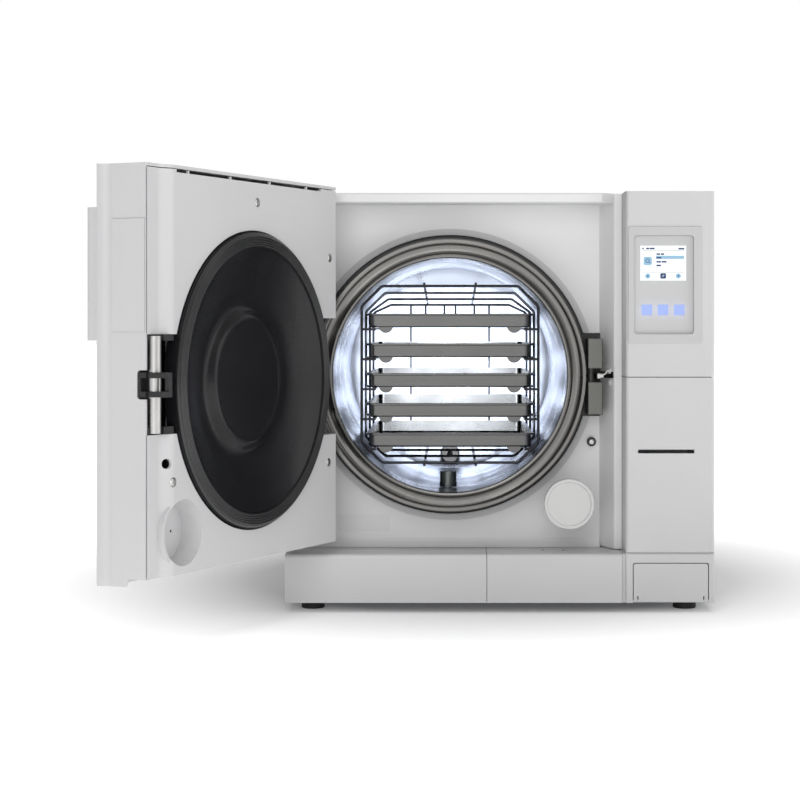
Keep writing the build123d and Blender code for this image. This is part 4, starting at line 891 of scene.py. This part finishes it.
class AUTOCLAVE_OT_door_finish(bpy.types.Operator):
    """Finish the door's covers, disc, gasket and latch"""

    bl_idname = "autoclave.door_finish"
    bl_label = "Door finish"

    def execute(self, context):
        dress(white_moulding, "door_inner_panel", "door_outer_cover", "door_side_cover", "door_handle")
        dress(black_coating, "door_pressure_disc")
        dress(gasket_rubber, "door_gasket")
        dress(cast_metal, "door_cross_arm")
        dress(black_casting, "door_latch_carrier")
        dress(ground_steel, "door_latch_pin", "door_screws")
        return {"FINISHED"}


# ---- operators: fittings ------------------------------------------------------------------------
PAGE_DEPTH = 0.00012


def page_bar(bm, area, x0, x1, z0, z1, index, radius=0.0):
    """Bar on the screen; the corners are fractions of the screen's width and of its height from the top."""
    lo, hi = area
    wide, tall = hi.x - lo.x, hi.z - lo.z
    left, right = lo.x + wide * x0, lo.x + wide * x1
    low, high = hi.z - tall * z1, hi.z - tall * z0
    corner = radius or (high - low) * 0.3
    layer = PAGE_DEPTH * (1 + index)
    prism_y(bm, rounded_outline(left, right, low, high, corner, 3), lo.y - layer, lo.y + PAGE_DEPTH, index)


class AUTOCLAVE_OT_screen_page(bpy.types.Operator):
    """Lay a generic menu on the screen: bars for its lines, tiles and a tick, no lettering"""

    bl_idname = "autoclave.screen_page"
    bl_label = "Screen page"

    def execute(self, context):
        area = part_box("lcd_screen")
        lo, hi = area
        bm = bmesh.new()
        grey, blue, navy, white = range(4)
        rule, word, foot = 0.012, 0.045, 0.87
        for z in (0.135, 0.755):
            page_bar(bm, area, 0.04, 0.96, z, z + rule, grey)
        page_bar(bm, area, 0.34, 0.955, 0.29, 0.38, blue, 0.0002)
        page_bar(bm, area, 0.07, 0.25, 0.32, 0.56, blue, 0.0018)
        words = ((0.04, 0.075, 0.06), (0.125, 0.19, 0.06), (0.2, 0.31, 0.06), (0.83, 0.96, 0.065))
        words += ((0.35, 0.43, 0.22), (0.445, 0.52, 0.22), (0.35, 0.46, 0.325))
        words += ((0.35, 0.45, 0.44), (0.465, 0.57, 0.44), (0.35, 0.45, 0.545))
        for x0, x1, z in words:
            page_bar(bm, area, x0, x1, z, z + word, navy)
        page_bar(bm, area, 0.435, 0.56, 0.79, 0.945, navy, 0.0012)
        wide, tall = hi.x - lo.x, hi.z - lo.z
        for x, way in ((0.16, 1), (0.83, -1)):
            cx, cz = lo.x + wide * x, hi.z - tall * foot
            prism_y(bm, round_outline(cx, cz, 0.0027), lo.y - 2 * PAGE_DEPTH, lo.y, blue)
            base_z = cz - 0.0007 * way
            arrow = [(cx - 0.0013, base_z), (cx + 0.0013, base_z), (cx, cz + 0.0011 * way)]
            prism_y(bm, arrow if way > 0 else arrow[::-1], lo.y - 3 * PAGE_DEPTH, lo.y, navy)
        tick(bm, lo.x + wide * 0.497, hi.z - tall * foot, 0.0011, lo.y, white)
        magnifier(bm, lo.x + wide * 0.155, hi.z - tall * 0.43, 0.0022, lo.y, navy)
        piece("screen_page", bm, "cabinet", [page_grey, page_light_blue, page_navy, screen_white])
        return {"FINISHED"}


def tick(bm, x, z, size, y, index):
    """Tick mark of two strokes."""
    points = [(-1.0, 0.1), (-0.3, -0.9), (1.1, 0.9), (0.8, 1.2), (-0.35, -0.25), (-0.7, 0.4)]
    prism_y(bm, [(x + size * a, z + size * b) for a, b in points], y - 4 * PAGE_DEPTH, y, index)


def magnifier(bm, x, z, size, y, index):
    """Magnifying glass: a ring with a short stalk."""
    steps = 20
    outer = round_outline(x, z, size, steps)
    inner = round_outline(x, z, size * 0.72, steps)
    for n in range(steps):
        after = (n + 1) % steps
        prism_y(bm, [outer[n], outer[after], inner[after], inner[n]], y - 3 * PAGE_DEPTH, y, index)
    stalk = [(0.6, -0.8), (1.25, -1.4), (1.45, -1.2), (0.8, -0.6)]
    prism_y(bm, [(x + size * a, z + size * b) for a, b in stalk], y - 3 * PAGE_DEPTH, y, index)


class AUTOCLAVE_OT_label_plates(bpy.types.Operator):
    """Stick a blank plate on the fascia and one on the back"""

    bl_idname = "autoclave.label_plates"
    bl_label = "Blank label plates"

    def execute(self, context):
        thick = context.scene.autoclave_fittings.label_thickness
        fascia_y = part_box("latch_backplate")[0].y - 3.5 * MM
        bm = bmesh.new()
        outline = rounded_outline(-0.174, -0.117, 0.0775, 0.095, 0.0012)
        prism_y(bm, outline, fascia_y - thick, fascia_y)
        piece("front_label_plate", bm, "cabinet", [label_grey])
        bm = bmesh.new()
        outline = rounded_outline(0.02, 0.11, 0.16, 0.215, 0.003)
        prism_y(bm, outline, BACK_Y, BACK_Y + thick)
        piece("rear_rating_plate", bm, "cabinet", [aluminium])
        return {"FINISHED"}


LEVER_PATH = ((-0.001, 0.001), (0.0022, 0.0028), (0.003, 0.0055), (0.0078, 0.0048))
LEVER_HALF = 0.7 * MM
GUIDE_PLACE = (0.1180, 0.0494)  # middle of the slot in the slanted wall
GUIDE_DROP = 1.5 * MM
GUIDE_TURN = radians(-65.9)
GUIDE_HALVES = ((-0.0090, -0.0035), (0.0035, 0.0085))  # below and above the slot's middle
GUIDE_HALF_WIDTH = 4.6 * MM
GUIDE_HALF_THICK = 0.9 * MM


class AUTOCLAVE_OT_lock_lever(bpy.types.Operator):
    """Add the bolt's bent lever and the guide plate on the slanted wall"""

    bl_idname = "autoclave.lock_lever"
    bl_label = "Lock lever and guide"

    def execute(self, context):
        lo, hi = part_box("lock_bolt")
        z = (lo.z + hi.z) / 2
        path = [(hi.x + dx, z + dz) for dx, dz in LEVER_PATH]
        bm = bmesh.new()
        for (x0, z0), (x1, z1) in zip(path, path[1:]):
            way = Vector((x1 - x0, 0, z1 - z0)).normalized() * LEVER_HALF
            near = [(x0 + way.z, z0 - way.x), (x1 + way.z, z1 - way.x)]
            far = [(x1 - way.z, z1 + way.x), (x0 - way.z, z0 + way.x)]
            prism_y(bm, near + far, lo.y + 0.5 * MM, lo.y + 6 * MM)
        piece("lock_lever", bm, "lock_bolt", [chrome])
        bm = bmesh.new()
        for low, high in GUIDE_HALVES:
            near = (-GUIDE_HALF_WIDTH, -GUIDE_HALF_THICK, low)
            far = (GUIDE_HALF_WIDTH, GUIDE_HALF_THICK, high)
            box_between(bm, near, far, 0.4 * MM)
        wall = Matrix.Translation((*GUIDE_PLACE, z - GUIDE_DROP)) @ Matrix.Rotation(GUIDE_TURN, 4, "Z")
        bmesh.ops.transform(bm, matrix=wall, verts=bm.verts)
        piece("bolt_guide_plate", bm, "cabinet", [label_grey])
        return {"FINISHED"}


PLUG_PLACE = (0.096, 0.1155)  # x and z on the shut door
PLUG_FACE_Y = 24 * MM


class AUTOCLAVE_OT_door_plug(bpy.types.Operator):
    """Press the dark plug in beside the door's filter dish; laid out on the shut door, then swung open"""

    bl_idname = "autoclave.door_plug"
    bl_label = "Door plug"

    def execute(self, context):
        rim, top = PLUG_FACE_Y + 0.2 * MM, PLUG_FACE_Y + 0.5 * MM
        profile = [(0.0, PLUG_FACE_Y), (0.0013, PLUG_FACE_Y), (0.0013, rim), (0.0009, top), (0.0, top)]
        bm = bmesh.new()
        turned_y(bm, profile, *PLUG_PLACE, 20)
        bmesh.ops.transform(bm, matrix=DOOR_TURN, verts=bm.verts)
        piece("door_plug", bm, "door", [dark_bush_and_gap_shade])
        return {"FINISHED"}


class AUTOCLAVE_OT_switch_bush(bpy.types.Operator):
    """Set the dark bush round the door switch pin"""

    bl_idname = "autoclave.switch_bush"
    bl_label = "Door switch bush"

    def execute(self, context):
        lo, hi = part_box("door_switch_pin")
        x, z = (lo.x + hi.x) / 2, (lo.z + hi.z) / 2
        y = lo.y + 4 * MM
        bore, rim = 0.0034, 0.0051
        profile = [(bore, y - 0.0009), (0.0040, y - 0.0015), (0.0047, y - 0.0013)]
        profile += [(rim, y - 0.0004), (rim, y), (bore, y)]
        bm = bmesh.new()
        turned_y(bm, profile, x, z)
        piece("door_switch_bush", bm, "cabinet", [dark_bush_and_gap_shade])
        return {"FINISHED"}


PORT_DROP = 0.108  # steam port below the drum's middle
# painted shade: a dark ring set in the gap between the chamber's ring and the fascia's hole, where the gap
# falls into shadow
GAP_SHADE_RING_RADII = (0.1388, 0.1540)
GAP_SHADE_RING_DEPTHS = (0.0782, 0.0800)


class AUTOCLAVE_OT_chamber_fittings(bpy.types.Operator):
    """Add the steam port in the drum's end, and a dark ring behind the fascia that paints the shade in the
    gap round the chamber's ring
    """

    bl_idname = "autoclave.chamber_fittings"
    bl_label = "Steam port and gap shade"

    def execute(self, context):
        bore, rim = 0.0035, 0.0120
        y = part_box("pressure_vessel")[1].y - 31 * MM
        near, far = y - 10 * MM, y + 4 * MM
        profile = [(bore, near), (0.0105, near), (rim, y - 8 * MM), (rim, far), (bore, far)]
        bm = bmesh.new()
        turned_y(bm, profile, CHAMBER_X, CHAMBER_Z - PORT_DROP)
        piece("steam_port", bm, "cabinet", [ground_steel])
        # dark ring of painted shade for the gap round the chamber's ring
        inner, outer = GAP_SHADE_RING_RADII
        near, far = GAP_SHADE_RING_DEPTHS
        profile = [(inner, near), (outer, near), (outer, far), (inner, far)]
        bm = bmesh.new()
        turned_y(bm, profile, CHAMBER_X, CHAMBER_Z, 96)
        piece("fascia_gap_painted_shade", bm, "cabinet", [dark_bush_and_gap_shade])
        return {"FINISHED"}


class AUTOCLAVE_OT_cover_screws(bpy.types.Operator):
    """Drive the screws of the back, the sides and the plinth ledge"""

    bl_idname = "autoclave.cover_screws"
    bl_label = "Cover screws"

    def execute(self, context):
        sizes = context.scene.autoclave_fittings
        values = {"Head radius": sizes.screw_radius, "Head height": sizes.screw_height}
        back = [(x, BACK_Y, z) for x in (-0.21, -0.07, 0.07, 0.21) for z in (0.028, 0.425)]
        back += [(x, BACK_Y, z) for x in (-0.21, 0.21) for z in (0.16, 0.295)]
        grown("rear_panel_screws", screw_tree, back, "cabinet", ground_steel,
              values, [(0, 1, 0)] * len(back))
        rows = [(side, y, z) for side in (-1, 1) for y in (0.10, 0.31, 0.53) for z in (0.030, 0.405)]
        sides = [(side * CABINET_HALF, y, z) for side, y, z in rows]
        ways = [(side, 0, 0) for side, y, z in rows]
        grown("side_panel_screws", screw_tree, sides, "cabinet", ground_steel, values, ways)
        ledge_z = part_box("plinth_cover_right")[1].z
        ledge = [(x, 0.035, ledge_z) for x in (0.047, 0.069)]
        small = {"Head radius": 0.0011, "Head height": 0.0005}
        grown("ledge_screws", screw_tree, ledge, "cabinet", dark_bush_and_gap_shade,
              small, [(0, 0, 1)] * len(ledge))
        return {"FINISHED"}


class AUTOCLAVE_OT_vent_hoods(bpy.types.Operator):
    """Press louvre hoods over the vent slots of the back"""

    bl_idname = "autoclave.vent_hoods"
    bl_label = "Louvre hoods"

    def execute(self, context):
        sizes = context.scene.autoclave_fittings
        columns, rows = 2, 9
        pitch_x, pitch_z = 75 * MM, 14 * MM
        places = [
            (0.050 + pitch_x * column, BACK_Y, 0.2455 + pitch_z * row)
            for column in range(columns)
            for row in range(rows)
        ]
        values = {"Length": 0.062, "Height": 0.0028, "Depth": sizes.hood_depth}
        grown("louvre_hoods", hood_tree, places, "cabinet", white_sheet, values)
        return {"FINISHED"}


GUARD_STAND = 1.2 * MM
GUARD_RINGS = 5


class AUTOCLAVE_OT_finger_guard(bpy.types.Operator):
    """Bend the wire guard over the fan"""

    bl_idname = "autoclave.finger_guard"
    bl_label = "Fan finger guard"

    def execute(self, context):
        sizes = context.scene.autoclave_fittings
        values = {"Rings": GUARD_RINGS, "Pitch": sizes.guard_pitch}
        values |= {"Inner radius": 12 * MM, "Wire radius": sizes.guard_wire}
        place = [(FAN_X, BACK_Y + GUARD_STAND, FAN_Z)]
        grown("finger_guard", guard_tree, place, "cabinet", chrome, values)
        return {"FINISHED"}


# ---- operator: stage ----------------------------------------------------------------------------
WALL_LIGHT_Y = 0.372  # behind the rack, facing the drum's end
GAP_LIGHT_Y = 0.086  # in front of the trays, facing in
SENSOR_WIDTH = 36.0
FRAME_SHIFT = (-0.0625, -0.0912)


def area_light(name, place, aim, size, power, tone=(1.0, 1.0, 1.0), seen=True):
    """Soft square light at a place, turned to a point."""
    data = bpy.data.lights.new(name, "AREA")
    data.size = size
    data.energy = power
    data.color = tone
    made = bpy.data.objects.new(name, data)
    made.location = place
    made.rotation_euler = (Vector(aim) - Vector(place)).to_track_quat("-Z", "Y").to_euler()
    made.visible_camera = seen
    bpy.context.scene.collection.objects.link(made)


def studio_floor(tone):
    """Pale floor that glows more with distance from the cabinet, so it runs into the background; near the
    cabinet its glow is held low as a painted shadow round the foot.
    """
    constants = {"Emission_Strength": 1.0, "Specular_IOR_Level": 0.1}
    paint = skin("studio_floor", tone, scaled(tone, 0.995), 0.8, 40.0, 0.00001, 0.0, **constants)
    tree = paint.node_tree
    ends = {0: object_place(tree), 1: (0.0, BACK_Y / 2, 0.0)}
    away = node(tree, "ShaderNodeVectorMath", ends, operation="DISTANCE").outputs["Value"]
    # painted shadow: the floor's own glow is near black within 0.28 m of the cabinet's middle and rises to
    # full by 0.75 m
    floor_glow_past_painted_shadow = map_range(tree, away, 0.28, 0.75, 0.0, 1.0)
    glow = mix_colours(tree, floor_glow_past_painted_shadow, (0.04, 0.04, 0.04), (1.0, 1.0, 1.0))
    tree.links.new(glow, tree.nodes["Principled BSDF"].inputs["Emission Color"])
    return paint


def studio_world(strength):
    """White background over an even, softer light that fades towards the left."""
    world = bpy.data.worlds.new("studio_light")
    world.use_nodes = True
    tree = world.node_tree
    sky = tree.nodes["Background"]
    sky.inputs["Color"].default_value = (1.0, 1.0, 1.0, 1.0)
    way = split(tree, node(tree, "ShaderNodeTexCoord").outputs["Generated"])
    soft = map_range(tree, way["X"], -1.0, -0.2, 0.0, strength)
    seen = node(tree, "ShaderNodeLightPath").outputs["Is Camera Ray"]
    tree.links.new(maths(tree, "MAXIMUM", soft, seen), sky.inputs["Strength"])
    return world


class AUTOCLAVE_OT_stage(bpy.types.Operator):
    """Lay the pale floor, hang the lights and set up the camera"""

    bl_idname = "autoclave.stage"
    bl_label = "Studio"

    def execute(self, context):
        settings = context.scene.autoclave_stage
        mesh = bpy.data.meshes.new("studio_floor")
        reach = 30.0
        corners = [(-reach, -reach, 0), (reach, -reach, 0), (reach, reach, 0), (-reach, reach, 0)]
        mesh.from_pydata(corners, [], [(0, 1, 2, 3)])
        floor = bpy.data.objects.new("studio_floor", mesh)
        context.scene.collection.objects.link(floor)
        tone = tuple(settings.floor_tone)
        mesh.materials.append(studio_floor(tone))
        context.scene.world = studio_world(settings.sky)
        aim = (CHAMBER_X, 0.1, CHAMBER_Z)
        area_light("key", (-0.5, -3.1, 1.4), aim, 2.0, settings.key_power)
        area_light("side", (2.9, -0.6, 1.2), aim, 2.0, settings.side_power)
        area_light("top", (0.1, -0.2, 2.6), aim, 2.0, settings.top_power)
        self.light_chamber(settings)
        self.place_camera(context, settings)
        context.scene.view_settings.view_transform = "Standard"
        return {"FINISHED"}

    def light_chamber(self, settings):
        """Lights behind the trays that no view sees, so the drum's inside glows."""
        cool = (0.88, 0.93, 1.0)
        wall = (CHAMBER_X, WALL_LIGHT_Y, CHAMBER_Z)
        mouth = (CHAMBER_X, GAP_LIGHT_Y, CHAMBER_Z)
        behind = (CHAMBER_X, 1.0, CHAMBER_Z)
        area_light("chamber_wall", wall, behind, 0.12, settings.wall_power, cool, False)
        area_light("tray_gaps", mouth, behind, 0.15, settings.gap_power, cool, False)

    def place_camera(self, context, settings):
        """Camera square to the front, level, with its frame shifted as a view camera's."""
        data = bpy.data.cameras.new("front_camera")
        data.lens = settings.lens
        data.sensor_width = SENSOR_WIDTH
        data.shift_x, data.shift_y = FRAME_SHIFT
        data.clip_end = 200.0
        camera = bpy.data.objects.new("front_camera", data)
        camera.location = (CHAMBER_X, -settings.distance, settings.height)
        camera.rotation_euler = (pi / 2, 0.0, 0.0)
        context.scene.collection.objects.link(camera)
        context.scene.camera = camera


# ---- panel and registration ---------------------------------------------------------------------
PIECE_OPERATORS = (
    AUTOCLAVE_OT_case_finish,
    AUTOCLAVE_OT_chamber_finish,
    AUTOCLAVE_OT_door_finish,
    AUTOCLAVE_OT_screen_page,
    AUTOCLAVE_OT_label_plates,
    AUTOCLAVE_OT_lock_lever,
    AUTOCLAVE_OT_door_plug,
    AUTOCLAVE_OT_switch_bush,
    AUTOCLAVE_OT_chamber_fittings,
    AUTOCLAVE_OT_cover_screws,
    AUTOCLAVE_OT_vent_hoods,
    AUTOCLAVE_OT_finger_guard,
    AUTOCLAVE_OT_stage,
)


class AUTOCLAVE_PT_panel(bpy.types.Panel):
    """Lists the autoclave's settings and pieces"""

    bl_idname = "AUTOCLAVE_PT_panel"
    bl_label = "Autoclave"
    bl_space_type = "VIEW_3D"
    bl_region_type = "UI"
    bl_category = "Autoclave"

    def draw(self, context):
        for group in ("autoclave_finishes", "autoclave_fittings", "autoclave_stage"):
            settings = getattr(context.scene, group)
            box = self.layout.box()
            for key in settings.bl_rna.properties.keys():
                if key not in {"rna_type", "name"}:
                    box.prop(settings, key)
        for operator in PIECE_OPERATORS:
            self.layout.operator(operator.bl_idname)


SETTINGS = {
    "autoclave_finishes": AutoclaveFinishSettings,
    "autoclave_fittings": AutoclaveFittingSettings,
    "autoclave_stage": AutoclaveStageSettings,
}
CLASSES = (*SETTINGS.values(), *PIECE_OPERATORS, AUTOCLAVE_PT_panel)


def register():
    """Register the classes and hang the settings on the scene."""
    for cls in CLASSES:
        bpy.utils.register_class(cls)
    for name, cls in SETTINGS.items():
        setattr(bpy.types.Scene, name, bpy.props.PointerProperty(type=cls))


def unregister():
    """Take the settings and classes away again."""
    for name in SETTINGS:
        delattr(bpy.types.Scene, name)
    for cls in reversed(CLASSES):
        bpy.utils.unregister_class(cls)


def main():
    """Make every piece in order."""
    register()
    for operator in PIECE_OPERATORS:
        family, action = operator.bl_idname.split(".")
        getattr(getattr(bpy.ops, family), action)()


if __name__ == "__main__":
    main()
